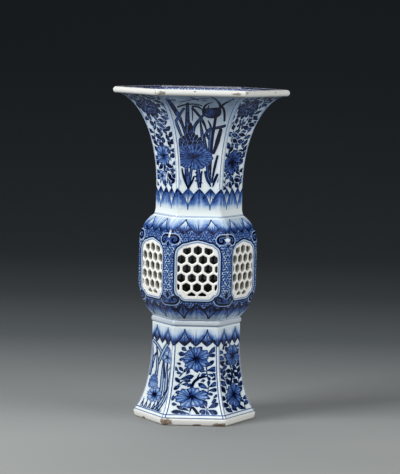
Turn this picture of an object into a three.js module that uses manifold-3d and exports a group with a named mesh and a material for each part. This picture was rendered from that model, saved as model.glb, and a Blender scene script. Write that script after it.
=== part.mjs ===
// Hexagonal porcelain beaker vase, slab-built in three tiers: a flared foot, a pierced drum and a trumpet neck.
// Each tier is six press-moulded slabs mitred and luted at the corners. Rings close the foot, the waist and the
// mouth, a floor plate closes the foot, and a honeycomb panel fills the window in each face of the drum.
// Millimetres, +Z up. The origin is the middle of the foot, on the surface that the vase stands on.
// A radius is measured from the axis to a corner of the hexagon unless its name says otherwise.
import * as THREE from "three";
import Module from "manifold-3d";
import { mergeVertices } from "three/addons/utils/BufferGeometryUtils.js";

const wasm = await Module();
wasm.setup();

// Sizes shared by the tiers
const sides = 6;
const luting_gap = 0.3; // slip joint between neighbouring pieces
const waist_radius = 34.9; // top of the foot and bottom of the drum
const neck_root_radius = 35.3; // top of the drum and bottom of the neck

// Foot ring, floor and foot
const foot_ring_height = 5.8;
const foot_ring_radius = 48.6;
const foot_ring_width = 7.2;
const foot_ring_round = 1.4;
const floor_thickness = 4.5;
const foot_height = 70.1;
const foot_thickness = 4.5;
const foot_setback = 0.3; // the slab stands this far inside the ring's edge
const foot_straight = 12; // upright stretch under the waist band
const foot_flare_reach = 19.8; // radial half-axis of the elliptic flare
const foot_corner_trim = 0.4; // how much the soft corner takes off the sharp one

// Waist band
const waist_band_height = 4;
const waist_band_proud = 1;
const waist_band_width = 6;
const waist_band_round = 0.8;

// Drum
const drum_height = 80.4;
const drum_radius = 47.4;
const drum_thickness = 4;
const drum_under_rise = 29.3; // height of the arc below the belly
const drum_shoulder_rise = 22.1; // height of the arc above the belly
const drum_corner_trim = 1.1;

// Neck and lip
const neck_height = 93.2;
const neck_thickness = 4;
const neck_waist_radius = 34.2;
const neck_root_height = 4.5; // short taper above the shoulder
const neck_straight = 22.5; // from the shoulder to the start of the flare
const neck_flare_reach = 36.5; // radial half-axis of the elliptic flare
const neck_corner_trim = 0.4;
const lip_height = 5;
const lip_radius = 69.5;
const lip_width = 5.2;
const lip_round = 1.7;

// Window and honeycomb
const window_width = 32.2;
const window_height = 44.1;
const window_rise = 39.65; // from the foot of the drum to the middle of the window
const window_arch = 2.2; // how far the arch's peak stands above its brackets
const window_bracket = 5; // size of the bracketed corners
const panel_margin = 0.9; // solid edge of the panel beside its cells
const panel_margin_ends = 2.8; // the same above and below
const cell_pitch = 8.3;
const cell_width = 6.3; // across flats
const cell_rise = 1.5; // the middle row stands this far above the window's middle
const cell_smallest_share = 0.15; // a cut cell smaller than this share is left closed

const arc_steps = 10;

// Places that follow from the stack
const foot_bottom = foot_ring_height + luting_gap;
const foot_top = foot_bottom + foot_height;
const band_bottom = foot_top + luting_gap;
const band_top = band_bottom + waist_band_height;
const drum_bottom = band_top + luting_gap;
const drum_top = drum_bottom + drum_height;
const neck_bottom = drum_top + luting_gap;
const neck_top = neck_bottom + neck_height;
const lip_bottom = neck_top + luting_gap;
const lip_top = lip_bottom + lip_height;
const window_middle = drum_bottom + window_rise;

const half_turn = Math.PI / sides;
const flat_share = Math.cos(half_turn); // distance to a flat face over distance to a corner
const point = (r, z) => new THREE.Vector2(r, z);

// A closed mesh as a solid; faces that collapse on the axis are left out.
function solidOf(geometry) {
  const bare = geometry.clone();
  bare.deleteAttribute("normal");
  bare.deleteAttribute("uv");
  const merged = mergeVertices(bare, 1e-4);
  const index = merged.index.array;
  const kept = [];
  for (let i = 0; i < index.length; i += 3) {
    const [a, b, c] = [index[i], index[i + 1], index[i + 2]];
    if (a !== b && b !== c && c !== a) kept.push(a, b, c);
  }
  const vertProperties = merged.attributes.position.array;
  return new wasm.Manifold(new wasm.Mesh({ numProp: 3, vertProperties, triVerts: new Uint32Array(kept) }));
}

function geometryOf(solid) {
  const mesh = solid.getMesh();
  const positions = new Float32Array(mesh.numVert * 3);
  for (let i = 0; i < mesh.numVert; i += 1) {
    positions.set(mesh.vertProperties.subarray(i * mesh.numProp, i * mesh.numProp + 3), i * 3);
  }
  const geometry = new THREE.BufferGeometry();
  geometry.setAttribute("position", new THREE.BufferAttribute(positions, 3));
  geometry.setIndex(new THREE.BufferAttribute(new Uint32Array(mesh.triVerts), 1));
  geometry.computeVertexNormals();
  return geometry;
}

// Points of an elliptic arc about a centre, from one angle to another in degrees
function arc(centreR, centreZ, halfR, halfZ, from, to, steps = arc_steps) {
  const [start, end] = [from, to].map(THREE.MathUtils.degToRad);
  return new THREE.EllipseCurve(centreR, centreZ, halfR, halfZ, start, end, end < start).getPoints(steps);
}

// The outline moved inwards by the wall's thickness, square to the curve as seen on a flat face
function insideOf(outline, thickness) {
  return outline.map((p, i) => {
    const before = outline[Math.max(i - 1, 0)];
    const after = outline[Math.min(i + 1, outline.length - 1)];
    const along = point((after.x - before.x) * flat_share, after.y - before.y).normalize();
    return point(p.x - (along.y * thickness) / flat_share, p.y + along.x * thickness);
  });
}

// The part of a rising outline between two heights, with its ends worked out on those heights
function between(outline, low, high) {
  const at = (height) => {
    const above = Math.max(outline.findIndex((p) => p.y > height), 1);
    const [p, q] = [outline[above - 1], outline[above]];
    return point(p.x + ((q.x - p.x) * (height - p.y)) / (q.y - p.y), height);
  };
  const inner = outline.filter((p) => p.y > low + luting_gap && p.y < high - luting_gap);
  return [at(low), ...inner, outline[outline.length - 1].y > high ? at(high) : outline[outline.length - 1]];
}

// A wall's closed profile: up the outside, then down the inside
function wallProfile(outline, thickness, low, high) {
  return [...outline, ...between(insideOf(outline, thickness), low, high).reverse()];
}

// A hexagonal ring of a closed anticlockwise profile, with flat faces on -Y and +Y unless it is turned
function hexagonRing(profile, turned = 0) {
  const geometry = new THREE.LatheGeometry([...profile, profile[0]], sides, half_turn + turned);
  geometry.rotateX(Math.PI / 2);
  return solidOf(geometry);
}

// Outer outlines of the tiers, from bottom to top
function footOutline() {
  const flareTop = foot_top - foot_straight;
  const spread = foot_ring_radius - foot_setback - waist_radius;
  const swing = Math.acos(1 - spread / foot_flare_reach);
  const depth = (flareTop - foot_bottom) / Math.sin(swing);
  const from = 180 + THREE.MathUtils.radToDeg(swing);
  const flare = arc(waist_radius + foot_flare_reach, flareTop, foot_flare_reach, depth, from, 180);
  return [...flare, point(waist_radius, foot_top)];
}

// A round arc that stands upright at the belly, and its swing in degrees
function bellyArc(spread, rise) {
  const radius = (spread ** 2 + rise ** 2) / (2 * spread);
  return { radius, swing: THREE.MathUtils.radToDeg(Math.asin(rise / radius)) };
}

function drumOutline() {
  const under = bellyArc(drum_radius - waist_radius, drum_under_rise);
  const over = bellyArc(drum_radius - neck_root_radius, drum_shoulder_rise);
  const belly = [drum_bottom + drum_under_rise, drum_top - drum_shoulder_rise];
  return [
    ...arc(drum_radius - under.radius, belly[0], under.radius, under.radius, -under.swing, 0, 8),
    ...arc(drum_radius - over.radius, belly[1], over.radius, over.radius, 0, over.swing, 8),
  ];
}

function neckOutline() {
  const flareBottom = neck_bottom + neck_straight;
  const spread = lip_radius - lip_width - luting_gap - neck_waist_radius;
  const swing = Math.acos(1 - spread / neck_flare_reach);
  const depth = (neck_top - flareBottom) / Math.sin(swing);
  const to = 180 - THREE.MathUtils.radToDeg(swing);
  const centre = neck_waist_radius + neck_flare_reach;
  return [
    point(neck_root_radius, neck_bottom),
    point(neck_waist_radius, neck_bottom + neck_root_height),
    ...arc(centre, flareBottom, neck_flare_reach, depth, 180, to, arc_steps + 2),
  ];
}

// A tier's wall, its soft corners trimmed by a second hexagon turned to face them
function tierOf(profile, outline, trim) {
  const [low, high] = [outline[0], outline[outline.length - 1]];
  const trimmed = outline.map((p) => point((p.x - trim) / flat_share, p.y));
  const reach = 2 * neck_thickness;
  const cutter = [
    point(0, low.y - reach),
    point(trimmed[0].x, low.y - reach),
    ...trimmed,
    point(trimmed[trimmed.length - 1].x, high.y + reach),
    point(0, high.y + reach),
  ];
  return hexagonRing(profile).intersect(hexagonRing(cutter, half_turn));
}

// The wedge of space that one slab of a tier fills, a joint narrower than a sixth of a turn
function slabWedge() {
  const reach = 2 * lip_radius;
  const apex = -luting_gap / 2 / Math.sin(half_turn);
  const spread = Math.tan(half_turn) * reach;
  const shape = new THREE.Shape([point(0, apex), point(-spread, apex - reach), point(spread, apex - reach)]);
  return solidOf(new THREE.ExtrudeGeometry(shape, { depth: lip_top, bevelEnabled: false }));
}

function footTier() {
  const outline = footOutline();
  return tierOf(wallProfile(outline, foot_thickness, foot_bottom, foot_top), outline, foot_corner_trim);
}

function drumTier() {
  const outline = drumOutline();
  return tierOf(wallProfile(outline, drum_thickness, drum_bottom, drum_top), outline, drum_corner_trim);
}

// The neck's rim leans inwards, under the lip's inner edge.
function neckTier() {
  const outline = neckOutline();
  const profile = wallProfile(outline, neck_thickness, neck_bottom, lip_top - lip_round);
  return tierOf(profile, outline, neck_corner_trim);
}

// Right half of the window's outline about its middle, from the bottom to the peak.
// Each entry is a bend's control point and end; an entry of one point is a straight run.
function windowHalf(halfWidth, halfHeight) {
  const b = window_bracket;
  const brow = halfHeight - window_arch;
  return [
    [halfWidth - 1.5 * b, -halfHeight],
    [halfWidth - 0.9 * b, -halfHeight + 0.1 * b, halfWidth - 0.7 * b, -halfHeight + 0.7 * b],
    [halfWidth, -halfHeight + 0.7 * b, halfWidth, -halfHeight + 1.7 * b],
    [halfWidth, brow - 1.8 * b],
    [halfWidth, brow - 0.5 * b, halfWidth - 0.7 * b, brow - 0.4 * b],
    [halfWidth - 0.8 * b, brow, halfWidth - 1.5 * b, brow],
    [halfWidth * 0.35, brow + 0.6 * window_arch, 0, halfHeight],
  ];
}

// The window's bracketed outline about its middle, drawn in by its margins
function windowShape(sideMargin, endMargin) {
  const half = windowHalf(window_width / 2 - sideMargin, window_height / 2 - endMargin);
  const path = new THREE.Path();
  path.moveTo(0, -window_height / 2 + endMargin);
  for (const bend of half) {
    if (bend.length === 2) path.lineTo(...bend);
    else path.quadraticCurveTo(...bend);
  }
  const right = path.getPoints(3);
  const left = right.slice(1, -1).map((p) => point(-p.x, p.y));
  return new THREE.Shape([...right, ...left.reverse()]);
}

// A shape drawn on the front face, about a point of it, pushed through the front wall
function throughFront(shape, x, z) {
  const geometry = new THREE.ExtrudeGeometry(shape, { depth: drum_radius, bevelEnabled: false });
  geometry.rotateX(Math.PI / 2);
  geometry.translate(x, 0, z);
  return solidOf(geometry);
}

// One cell, standing on a point
function cellShape() {
  const corner = cell_width / 2 / Math.cos(Math.PI / 6);
  const turns = [0, 1, 2, 3, 4, 5].map((k) => Math.PI / 2 + (k * Math.PI) / 3);
  return new THREE.Shape(turns.map((t) => point(corner * Math.cos(t), corner * Math.sin(t))));
}

// The honeycomb's holes, each cut to the window's inner outline
function cellCutters() {
  const inner = throughFront(windowShape(panel_margin, panel_margin_ends), 0, window_middle);
  const smallest = throughFront(cellShape(), 0, 0).volume() * cell_smallest_share;
  const rowStep = cell_pitch * Math.sin(Math.PI / 3);
  const rows = Math.ceil(window_height / rowStep / 2);
  const columns = Math.ceil(window_width / cell_pitch / 2);
  const cutters = [];
  for (let row = -rows; row <= rows; row += 1) {
    const shift = row % 2 === 0 ? 0 : cell_pitch / 2;
    for (let column = -columns; column <= columns; column += 1) {
      const middle = window_middle + cell_rise + row * rowStep;
      const cell = throughFront(cellShape(), column * cell_pitch + shift, middle).intersect(inner);
      if (cell.volume() > smallest) cutters.push(cell);
    }
  }
  return cutters;
}

// The pierced panel that fills the front window, a joint smaller all round
function piercedPanel(drumFront) {
  let panel = drumFront.intersect(throughFront(windowShape(luting_gap, luting_gap), 0, window_middle));
  for (const cell of cellCutters()) panel = panel.subtract(cell);
  return panel;
}

// A hexagonal band with its outer edges rounded
function bandRing(radius, width, low, high, round) {
  return hexagonRing([
    point(radius - width, low),
    ...arc(radius - round, low + round, round, round, -90, 0, 3),
    ...arc(radius - round, high - round, round, round, 0, 90, 3),
    point(radius - width, high),
  ]);
}

// The floor lies inside the foot slabs, on the foot ring's inner edge.
function floorPlate() {
  const walls = insideOf(footOutline(), foot_thickness + luting_gap);
  const edge = between(walls, foot_bottom, foot_bottom + floor_thickness);
  const radius = Math.min(...edge.map((p) => p.x));
  return hexagonRing([
    point(0, foot_bottom),
    point(radius, foot_bottom),
    point(radius, foot_bottom + floor_thickness),
    point(0, foot_bottom + floor_thickness),
  ]);
}

const white_glaze = { color: 0xe9eef0, roughness: 0.18, metalness: 0 };
const painted_glaze = { color: 0x8fa3cf, roughness: 0.18, metalness: 0 };
const bare_paste = { color: 0xd8cfc0, roughness: 0.6, metalness: 0 };

const vase = new THREE.Group();

function addPiece(name, solid, finish) {
  const mesh = new THREE.Mesh(geometryOf(solid), new THREE.MeshStandardMaterial(finish));
  mesh.name = name;
  vase.add(mesh);
  return mesh;
}

// Six copies of a piece made for the front, each turned to its own face
function addRound(name, solid, finish) {
  for (let k = 0; k < sides; k += 1) {
    addPiece(`${name}_${k + 1}`, solid, finish).rotation.z = k * 2 * half_turn;
  }
}

const wedge = slabWedge();
const drumFront = drumTier().intersect(wedge);
const windowCut = throughFront(windowShape(0, 0), 0, window_middle);
const footBase = bandRing(foot_ring_radius, foot_ring_width, 0, foot_ring_height, foot_ring_round);
const bandRadius = waist_radius + waist_band_proud;
const waistBand = bandRing(bandRadius, waist_band_width, band_bottom, band_top, waist_band_round);
const lip = bandRing(lip_radius, lip_width, lip_bottom, lip_top, lip_round);

addPiece("foot_ring", footBase, bare_paste);
addPiece("floor_plate", floorPlate(), white_glaze);
addRound("foot_slab", footTier().intersect(wedge), painted_glaze);
addPiece("waist_band", waistBand, white_glaze);
addRound("drum_slab", drumFront.subtract(windowCut), painted_glaze);
addRound("pierced_panel", piercedPanel(drumFront), white_glaze);
addRound("neck_slab", neckTier().intersect(wedge), painted_glaze);
addPiece("mouth_lip", lip, white_glaze);

export default vase;
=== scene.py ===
"""Looks of the hexagonal porcelain beaker vase: glazed slabs painted in underglaze cobalt blue.

Every piece takes the place of a solid of the loaded frame. Shapes are worked out in millimetres for the
front face, copied round the six sides and then brought to metres.
"""
import math
from functools import partial
from types import SimpleNamespace

import bmesh
import bpy
import numpy as np
from bpy.props import FloatProperty, FloatVectorProperty, IntProperty, PointerProperty
from bpy.types import Operator, Panel, PropertyGroup
from mathutils import Matrix, Vector


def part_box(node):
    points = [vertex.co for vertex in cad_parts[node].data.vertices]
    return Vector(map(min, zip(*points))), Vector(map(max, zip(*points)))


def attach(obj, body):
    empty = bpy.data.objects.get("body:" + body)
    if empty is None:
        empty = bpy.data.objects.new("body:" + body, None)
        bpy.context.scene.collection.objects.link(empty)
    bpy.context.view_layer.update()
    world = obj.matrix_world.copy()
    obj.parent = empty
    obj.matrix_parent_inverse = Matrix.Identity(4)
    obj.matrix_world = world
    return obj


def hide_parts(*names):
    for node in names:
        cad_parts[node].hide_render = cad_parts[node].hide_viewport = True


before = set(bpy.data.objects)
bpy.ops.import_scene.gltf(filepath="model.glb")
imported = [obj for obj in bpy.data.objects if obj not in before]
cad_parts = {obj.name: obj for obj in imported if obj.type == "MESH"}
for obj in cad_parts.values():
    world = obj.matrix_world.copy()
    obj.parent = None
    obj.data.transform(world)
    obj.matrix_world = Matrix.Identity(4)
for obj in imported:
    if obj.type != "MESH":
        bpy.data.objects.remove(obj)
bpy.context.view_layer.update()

bl_info = {
    "name": "Hexagonal blue-and-white vase",
    "version": (1, 0, 0),
    "blender": (4, 5, 0),
    "location": "View3D > Sidebar > Vase",
    "description": "Models and paints a pierced hexagonal porcelain beaker vase",
    "category": "Object",
}

SIDES = 6
HALF_SIDE = math.pi / SIDES  # half the angle that one side takes up
FLAT = math.cos(HALF_SIDE)  # distance to a flat face over distance to a corner
MM = 0.001


def linear(hex_colour):
    """An sRGB hex colour as linear red, green and blue."""
    channels = [(hex_colour >> shift & 255) / 255 for shift in (16, 8, 0)]
    return tuple(c / 12.92 if c <= 0.04045 else ((c + 0.055) / 1.055) ** 2.4 for c in channels)


def middle_height(below, above):
    """Height in millimetres of the joint between two nodes of the frame."""
    return (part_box(below)[1].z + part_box(above)[0].z) / 2 / MM


# Joints between the tiers and corner radii of the rings, in millimetres, from the frame
FOOT_SEAM = middle_height("foot_ring", "foot_slab_1")
BAND_LOW = middle_height("foot_slab_1", "waist_band")
BAND_HIGH = middle_height("waist_band", "drum_slab_1")
SHOULDER = middle_height("drum_slab_1", "neck_slab_1")
LIP_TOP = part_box("mouth_lip")[1].z / MM
LIP_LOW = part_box("mouth_lip")[0].z / MM
LIP_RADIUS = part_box("mouth_lip")[1].x / MM
FOOT_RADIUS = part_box("foot_ring")[1].x / MM
BAND_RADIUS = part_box("waist_band")[1].x / MM

# Curves of the tiers, in millimetres
JOINT = 0.3  # gap between two slabs
FOOT_UPRIGHT = 12.0  # straight part of the foot, under the waist band
FOOT_FLARE = 19.8  # radius on which the foot flares below it
FOOT_INSET = 0.3  # how far the foot's corners stand back from the foot ring
BELLY_RISE = 29.45  # height over which the drum swells
BELLY_DROP = 22.25  # height over which it draws in again
ROOT_RISE = 5.0  # height over which the neck draws in above the shoulder
NECK_UPRIGHT = 22.5  # straight part of the neck, above the shoulder
NECK_FLARE = 36.5  # radius on which the neck flares above it
LIP_INSET = 5.5  # how far the neck's corners stand back from the lip

# Fineness of the meshes
ROLL_COLUMNS = 7  # columns of mesh on each side of a rounded ridge
OUTER_SKIN = 0.5  # millimetres of depth that count as the outer face
SHARP_ROLL = 0.02  # millimetres by which the inner corners are softened
FINE_STEP = 0.6  # millimetres between rows where the inner face is painted
SHARP_ANGLE = math.radians(38)  # edges sharper than this stay crisp

# Brushwork as it is stored on the meshes, in millimetres
FAR = 90.0  # a distance at which nothing is drawn
INK_REACH = (-2.0, 3.0)  # range kept of the distance to a stroke

LengthProperty = partial(FloatProperty, unit="LENGTH")
ColourProperty = partial(FloatVectorProperty, subtype="COLOR", min=0.0, max=1.0)


class VaseSizes(PropertyGroup):
    """Sizes of the porcelain body."""

    waist_radius: LengthProperty(name="Waist", description="Corner radius at the waist", default=34.9 * MM)
    root_radius: LengthProperty(name="Shoulder seam", description="Corner radius at the shoulder", default=35.3 * MM)
    drum_radius: LengthProperty(name="Belly", description="Corner radius of the drum", default=47.4 * MM)
    neck_radius: LengthProperty(name="Neck", description="Corner radius of the neck", default=34.2 * MM)
    wall: LengthProperty(name="Wall", description="Wall thickness", default=4.0 * MM)
    foot_wall: LengthProperty(name="Foot wall", description="Wall thickness of the foot", default=4.5 * MM)
    ridge_round: LengthProperty(name="Ridge", description="Roundness of the neck and foot corners", default=2.4 * MM)
    drum_round: LengthProperty(name="Drum corner", description="Roundness of the drum's corners", default=7.2 * MM)
    window_width: LengthProperty(name="Window width", description="Width of a window", default=32.2 * MM)
    window_height: LengthProperty(name="Window height", description="Height of a window", default=44.1 * MM)
    window_middle: LengthProperty(name="Window middle", description="Height of a window's middle", default=120.45 * MM)
    cell_pitch: LengthProperty(name="Cell pitch", description="Distance between cells", default=8.3 * MM)
    cell_width: LengthProperty(name="Cell width", description="Cell width across flats", default=6.3 * MM)
    row_step: LengthProperty(name="Row step", description="Height between rows of painted mesh", default=0.36 * MM)
    columns: IntProperty(name="Columns", description="Columns of painted mesh on a face", default=132)


class VasePaint(PropertyGroup):
    """Colours of the glaze and the pigment."""

    glaze: ColourProperty(name="Glaze", description="Bluish white of the glazed body", default=linear(0xE3ECED))
    wash: ColourProperty(name="Pale wash", description="Thin cobalt wash", default=linear(0xA0BAD8))
    cobalt: ColourProperty(name="Cobalt", description="Cobalt wash of medium strength", default=linear(0x4E72B0))
    deep: ColourProperty(name="Deep cobalt", description="Full cobalt wash", default=linear(0x2B4888))
    ink: ColourProperty(name="Outline", description="Heaped cobalt of the outlines", default=linear(0x080C26))


def current(context):
    """The sizes, with their lengths in millimetres, and the paint."""
    values = {name: getattr(context.scene.vase_sizes, name) for name in VaseSizes.__annotations__}
    sizes = {name: value / MM if isinstance(value, float) else value for name, value in values.items()}
    return SimpleNamespace(**sizes), context.scene.vase_paint


def to_mesh(name, bm):
    """A bmesh as a mesh, its faces turned outwards."""
    bmesh.ops.recalc_face_normals(bm, faces=bm.faces)
    mesh = bpy.data.meshes.new(name)
    bm.to_mesh(mesh)
    bm.free()
    return mesh


def show(name, mesh, material, slot, *nodes):
    """Puts a finished mesh, made in millimetres, in the scene in place of its nodes."""
    mesh.name = name
    mesh.transform(Matrix.Scale(MM, 4))
    mesh.shade_smooth()
    mesh.set_sharp_from_angle(angle=SHARP_ANGLE)
    mesh.materials.clear()
    mesh.materials.append(material)
    piece = bpy.data.objects.new(name, mesh)
    bpy.context.collection.objects.link(piece)
    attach(piece, "root")
    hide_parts(*nodes)


# Outlines: corner radius against height


def belly_arc(spread, rise):
    """Radius of the arc that bulges by spread over rise and stands upright at its widest."""
    return (spread**2 + rise**2) / (2 * spread)


def foot_radius_at(z, sizes):
    """The foot: upright under the waist, then flared on an arc to the foot ring."""
    top = BAND_LOW - FOOT_UPRIGHT
    spread = FOOT_RADIUS - FOOT_INSET - sizes.waist_radius
    depth = (top - FOOT_SEAM) / math.sin(math.acos(1 - spread / FOOT_FLARE))
    drop = np.clip((top - z) / depth, 0, 1)
    return sizes.waist_radius + FOOT_FLARE * (1 - np.sqrt(1 - drop**2))


def drum_radius_at(z, sizes):
    """The drum: an arc up to its widest and a tighter one from there to the shoulder."""
    low, high = BAND_HIGH + BELLY_RISE - JOINT / 2, SHOULDER - BELLY_DROP + JOINT / 2
    under = belly_arc(sizes.drum_radius - sizes.waist_radius, BELLY_RISE)
    over = belly_arc(sizes.drum_radius - sizes.root_radius, BELLY_DROP)
    below = np.sqrt(under**2 - np.clip(low - z, 0, None) ** 2) - under
    above = np.sqrt(over**2 - np.clip(z - high, 0, None) ** 2) - over
    return sizes.drum_radius + below + above


def neck_radius_at(z, sizes):
    """The neck: drawn in above the shoulder, upright, then flared on an arc to the lip."""
    start = SHOULDER + NECK_UPRIGHT
    spread = LIP_RADIUS - LIP_INSET - sizes.neck_radius
    depth = (LIP_LOW - JOINT - start) / math.sin(math.acos(1 - spread / NECK_FLARE))
    climb = np.clip((z - start) / depth, 0, 0.9999)
    root = np.clip(1 - (z - SHOULDER) / ROOT_RISE, 0, 1) ** 2 * (sizes.root_radius - sizes.neck_radius)
    return sizes.neck_radius + root + NECK_FLARE * (1 - np.sqrt(1 - climb**2))


class Outline:
    """A tier's outer outline on the middle of a face: distance from the axis, height and rise along it."""

    def __init__(self, low, high, radius_at, sizes):
        self.z = np.linspace(low, high, 4000)
        self.radius = radius_at(self.z, sizes)
        self.flat = self.radius * FLAT
        steps = np.hypot(np.diff(self.flat), np.diff(self.z))
        self.rise = np.concatenate([[0], np.cumsum(steps)])
        self.length = self.rise[-1]

    def rows(self, step):
        """Radius and height of evenly spaced rows."""
        at = np.linspace(0, self.length, max(int(self.length / step), 2))
        return np.interp(at, self.rise, self.radius), np.interp(at, self.rise, self.z)

    def inside(self, thickness, step, fine_top):
        """Radius and height of the rows of the inner face, from bottom to top, closer in the top millimetres."""
        coarse = np.linspace(0, self.length - fine_top, max(int((self.length - fine_top) / step), 2))
        close = np.linspace(self.length - fine_top, self.length, int(fine_top / FINE_STEP) + 1)
        at = np.concatenate([coarse, close[1:]])
        flat, z = np.interp(at, self.rise, self.flat), np.interp(at, self.rise, self.z)
        out, up = np.gradient(flat, at), np.gradient(z, at)
        size = np.hypot(out, up)
        return (flat - up / size * thickness) / FLAT, z + out / size * thickness


def closed_loop(bm, profile, angle):
    """The corners and edges of a profile, given as radius and height, that stands at an angle."""
    loop = [bm.verts.new((r * math.cos(angle), r * math.sin(angle), z)) for r, z in profile]
    return loop + [bm.edges.new(ends) for ends in zip(loop, loop[1:] + loop[:1])]


def slab(outline, thickness, roundness, sizes, inner_step=3.0, flat_top=True, fine_top=0.0):
    """The front slab of a tier: a closed profile swung through one side, cut in columns and softened."""
    step = sizes.row_step * 1
    columns = sizes.columns // 1
    outer_r, outer_z = outline.rows(step)
    inner_r, inner_z = outline.inside(thickness, inner_step, fine_top)
    keep = inner_z >= outline.z[0] - 0.01
    inner_z[0], keep[0] = outline.z[0], True
    if flat_top:
        keep &= inner_z <= outline.z[-1] + 0.01
        inner_z[-1], keep[-1] = outline.z[-1], True
    radii = np.concatenate([outer_r, inner_r[keep][::-1]])
    heights = np.concatenate([outer_z, inner_z[keep][::-1]])

    bm = bmesh.new()
    geom = closed_loop(bm, zip(radii, heights), -math.pi / 2 - HALF_SIDE)
    bmesh.ops.spin(bm, geom=geom, cent=(0, 0, 0), axis=(0, 0, 1), angle=2 * HALF_SIDE, steps=1)
    bmesh.ops.holes_fill(bm, edges=[e for e in bm.edges if e.is_boundary], sides=0)
    across = [e for e in bm.edges if e.verts[0].co.x * e.verts[1].co.x < 0]
    bmesh.ops.subdivide_edges(bm, edges=across, cuts=columns - 1, use_grid_fill=True)
    mesh = to_mesh("slab", bm)
    soften_corners(mesh, outline, roundness, columns)
    return mesh


def soften_corners(mesh, outline, roundness, columns):
    """Rolls the outer face round to the mitre, with the last columns of each side on the roll."""
    rolled = 1 - 2 * ROLL_COLUMNS / columns
    co = coordinates(mesh)
    x, flat = co[:, 0].copy(), -co[:, 1].copy()
    outer = flat > np.interp(co[:, 2], outline.z, outline.flat) - OUTER_SKIN
    width = flat * math.tan(HALF_SIDE)
    share = x / width
    reach = np.where(outer, roundness * math.tan(HALF_SIDE), SHARP_ROLL)
    level = np.clip(share / rolled, -1, 1)
    turn = np.clip((np.abs(share) - rolled) / (1 - rolled), 0, 1) * HALF_SIDE
    bend = np.where(outer, roundness, SHARP_ROLL / math.tan(HALF_SIDE))
    co[:, 0] = level * (width - reach) + np.sign(share) * bend * np.sin(turn)
    co[:, 1] = -(flat - bend * (1 - np.cos(turn)))
    mesh.vertices.foreach_set("co", co.ravel())
    mesh.update()


def coordinates(mesh):
    """The places of a mesh's vertices, one row for each."""
    co = np.empty(len(mesh.vertices) * 3, np.float32)
    mesh.vertices.foreach_get("co", co)
    return co.reshape(-1, 3).astype(float)


def set_values(mesh, name, values):
    """Stores one number, or three, for each vertex."""
    values = np.asarray(values, np.float32)
    kind, field = ("FLOAT", "value") if values.ndim == 1 else ("FLOAT_VECTOR", "vector")
    mesh.attributes.new(name, kind, "POINT").data.foreach_set(field, values.ravel())


def set_paint(mesh, u, rise, ridge, ink, tone, wash):
    """Stores what the painted material reads: the place on the face, and the brushwork there."""
    set_values(mesh, "face_mm", np.stack([u, rise, ridge], 1))
    set_values(mesh, "brush", np.stack([np.clip(ink, *INK_REACH), tone, wash], 1))


# Brushwork

FOLIAGE_SPREAD = 1.75  # how much wider than drawn the leaves of the sprays come out
STRAP_SPREAD = 1.7  # the same for the straps of the water plants
STEM_SPACING = 7.0  # millimetres between the stems of a spray, before the spread
LAPPET_STOPS = (0.0, 0.15, 0.3, 0.5, 0.75, 0.95)  # shares of a lappet's length at which its shades are given


class Brush:
    """A face being painted: distance in millimetres to the nearest stroke, negative inside, and washes.

    u runs across the face from its middle, s up the face from its lower edge, both in millimetres.
    """

    def __init__(self, u, s):
        self.u, self.s, self.at = u, s, None
        self.ink = np.full(u.shape, INK_REACH[1])
        self.tone = np.zeros(u.shape)
        self.wash = np.zeros(u.shape)

    def near(self, points, margin):
        """The painting round some points, to be laid back once it is worked on."""
        places = np.asarray(points, float)
        low, high = places.min(0) - margin, places.max(0) + margin
        inside = (self.u > low[0]) & (self.u < high[0]) & (self.s > low[1]) & (self.s < high[1])
        part = Brush(self.u[inside], self.s[inside])
        part.at = np.flatnonzero(inside)
        part.ink, part.tone, part.wash = self.ink[part.at], self.tone[part.at], self.wash[part.at]
        return part

    def lay(self, part):
        """Puts a worked part back."""
        self.ink[part.at], self.tone[part.at], self.wash[part.at] = part.ink, part.tone, part.wash

    def widened(self, spread):
        """The same painting seen narrower, so that what is painted on it comes out spread sideways."""
        canvas = Brush(self.u / spread, self.s)
        canvas.ink, canvas.tone, canvas.wash = self.ink, self.tone, self.wash
        return canvas

    def clear(self, shape):
        """Takes off what a nearer petal covers."""
        soft = 0.3
        self.ink = np.maximum(self.ink, -shape)
        self.wash = self.wash * np.clip(0.5 + shape / soft, 0, 1)

    def fill(self, shape, density, soft=0.4):
        """Lays a wash over a shape."""
        cover = np.clip(0.5 - shape / soft, 0, 1)
        self.wash = self.wash * (1 - cover) + density * cover

    def draw(self, shape, tone):
        """Draws a shape in full ink."""
        self.tone = np.where(shape < self.ink, tone, self.tone)
        self.ink = np.minimum(self.ink, shape)


def to_run(u, s, base, tip):
    """Distance to the straight run from base to tip, and the share of the way along it."""
    du, ds = tip[0] - base[0], tip[1] - base[1]
    length = math.hypot(du, ds) or 1e-6
    share = ((u - base[0]) * du + (s - base[1]) * ds) / length**2
    aside = ((s - base[1]) * du - (u - base[0]) * ds) / length
    t = np.clip(share, 0, 1)
    return np.hypot(aside, (share - t) * length), t


def leaf(brush, base, tip, width, belly, point=0.7):
    """A leaf or petal from base to tip, widest past its middle when belly is above one, sharper by point."""
    away, share = to_run(brush.u, brush.s, base, tip)
    return away - width / 2 * np.sin(math.pi * share**belly) ** point, share


def oval(brush, centre, half_u, half_s):
    """An upright oval. Outside it, distances are a little long, so that its soft edge stays narrow."""
    size = np.hypot((brush.u - centre[0]) / half_u, (brush.s - centre[1]) / half_s)
    return (size - 1) * min(half_u, half_s) * np.where(size > 1, 1.2, 1)


def on_oval(centre, half_u, half_s, angle, reach=1.0):
    """The place on an oval at an angle, or a share of the way out to it."""
    return centre[0] + math.cos(angle) * half_u * reach, centre[1] + math.sin(angle) * half_s * reach


def bezier(points, count):
    """Points along the smooth curve that control points give."""
    t = np.linspace(0, 1, count)[:, None]
    curve = [np.asarray(p, float)[None, :] * np.ones_like(t) for p in points]
    while len(curve) > 1:
        curve = [a * (1 - t) + b * t for a, b in zip(curve, curve[1:])]
    return curve[0]


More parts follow.
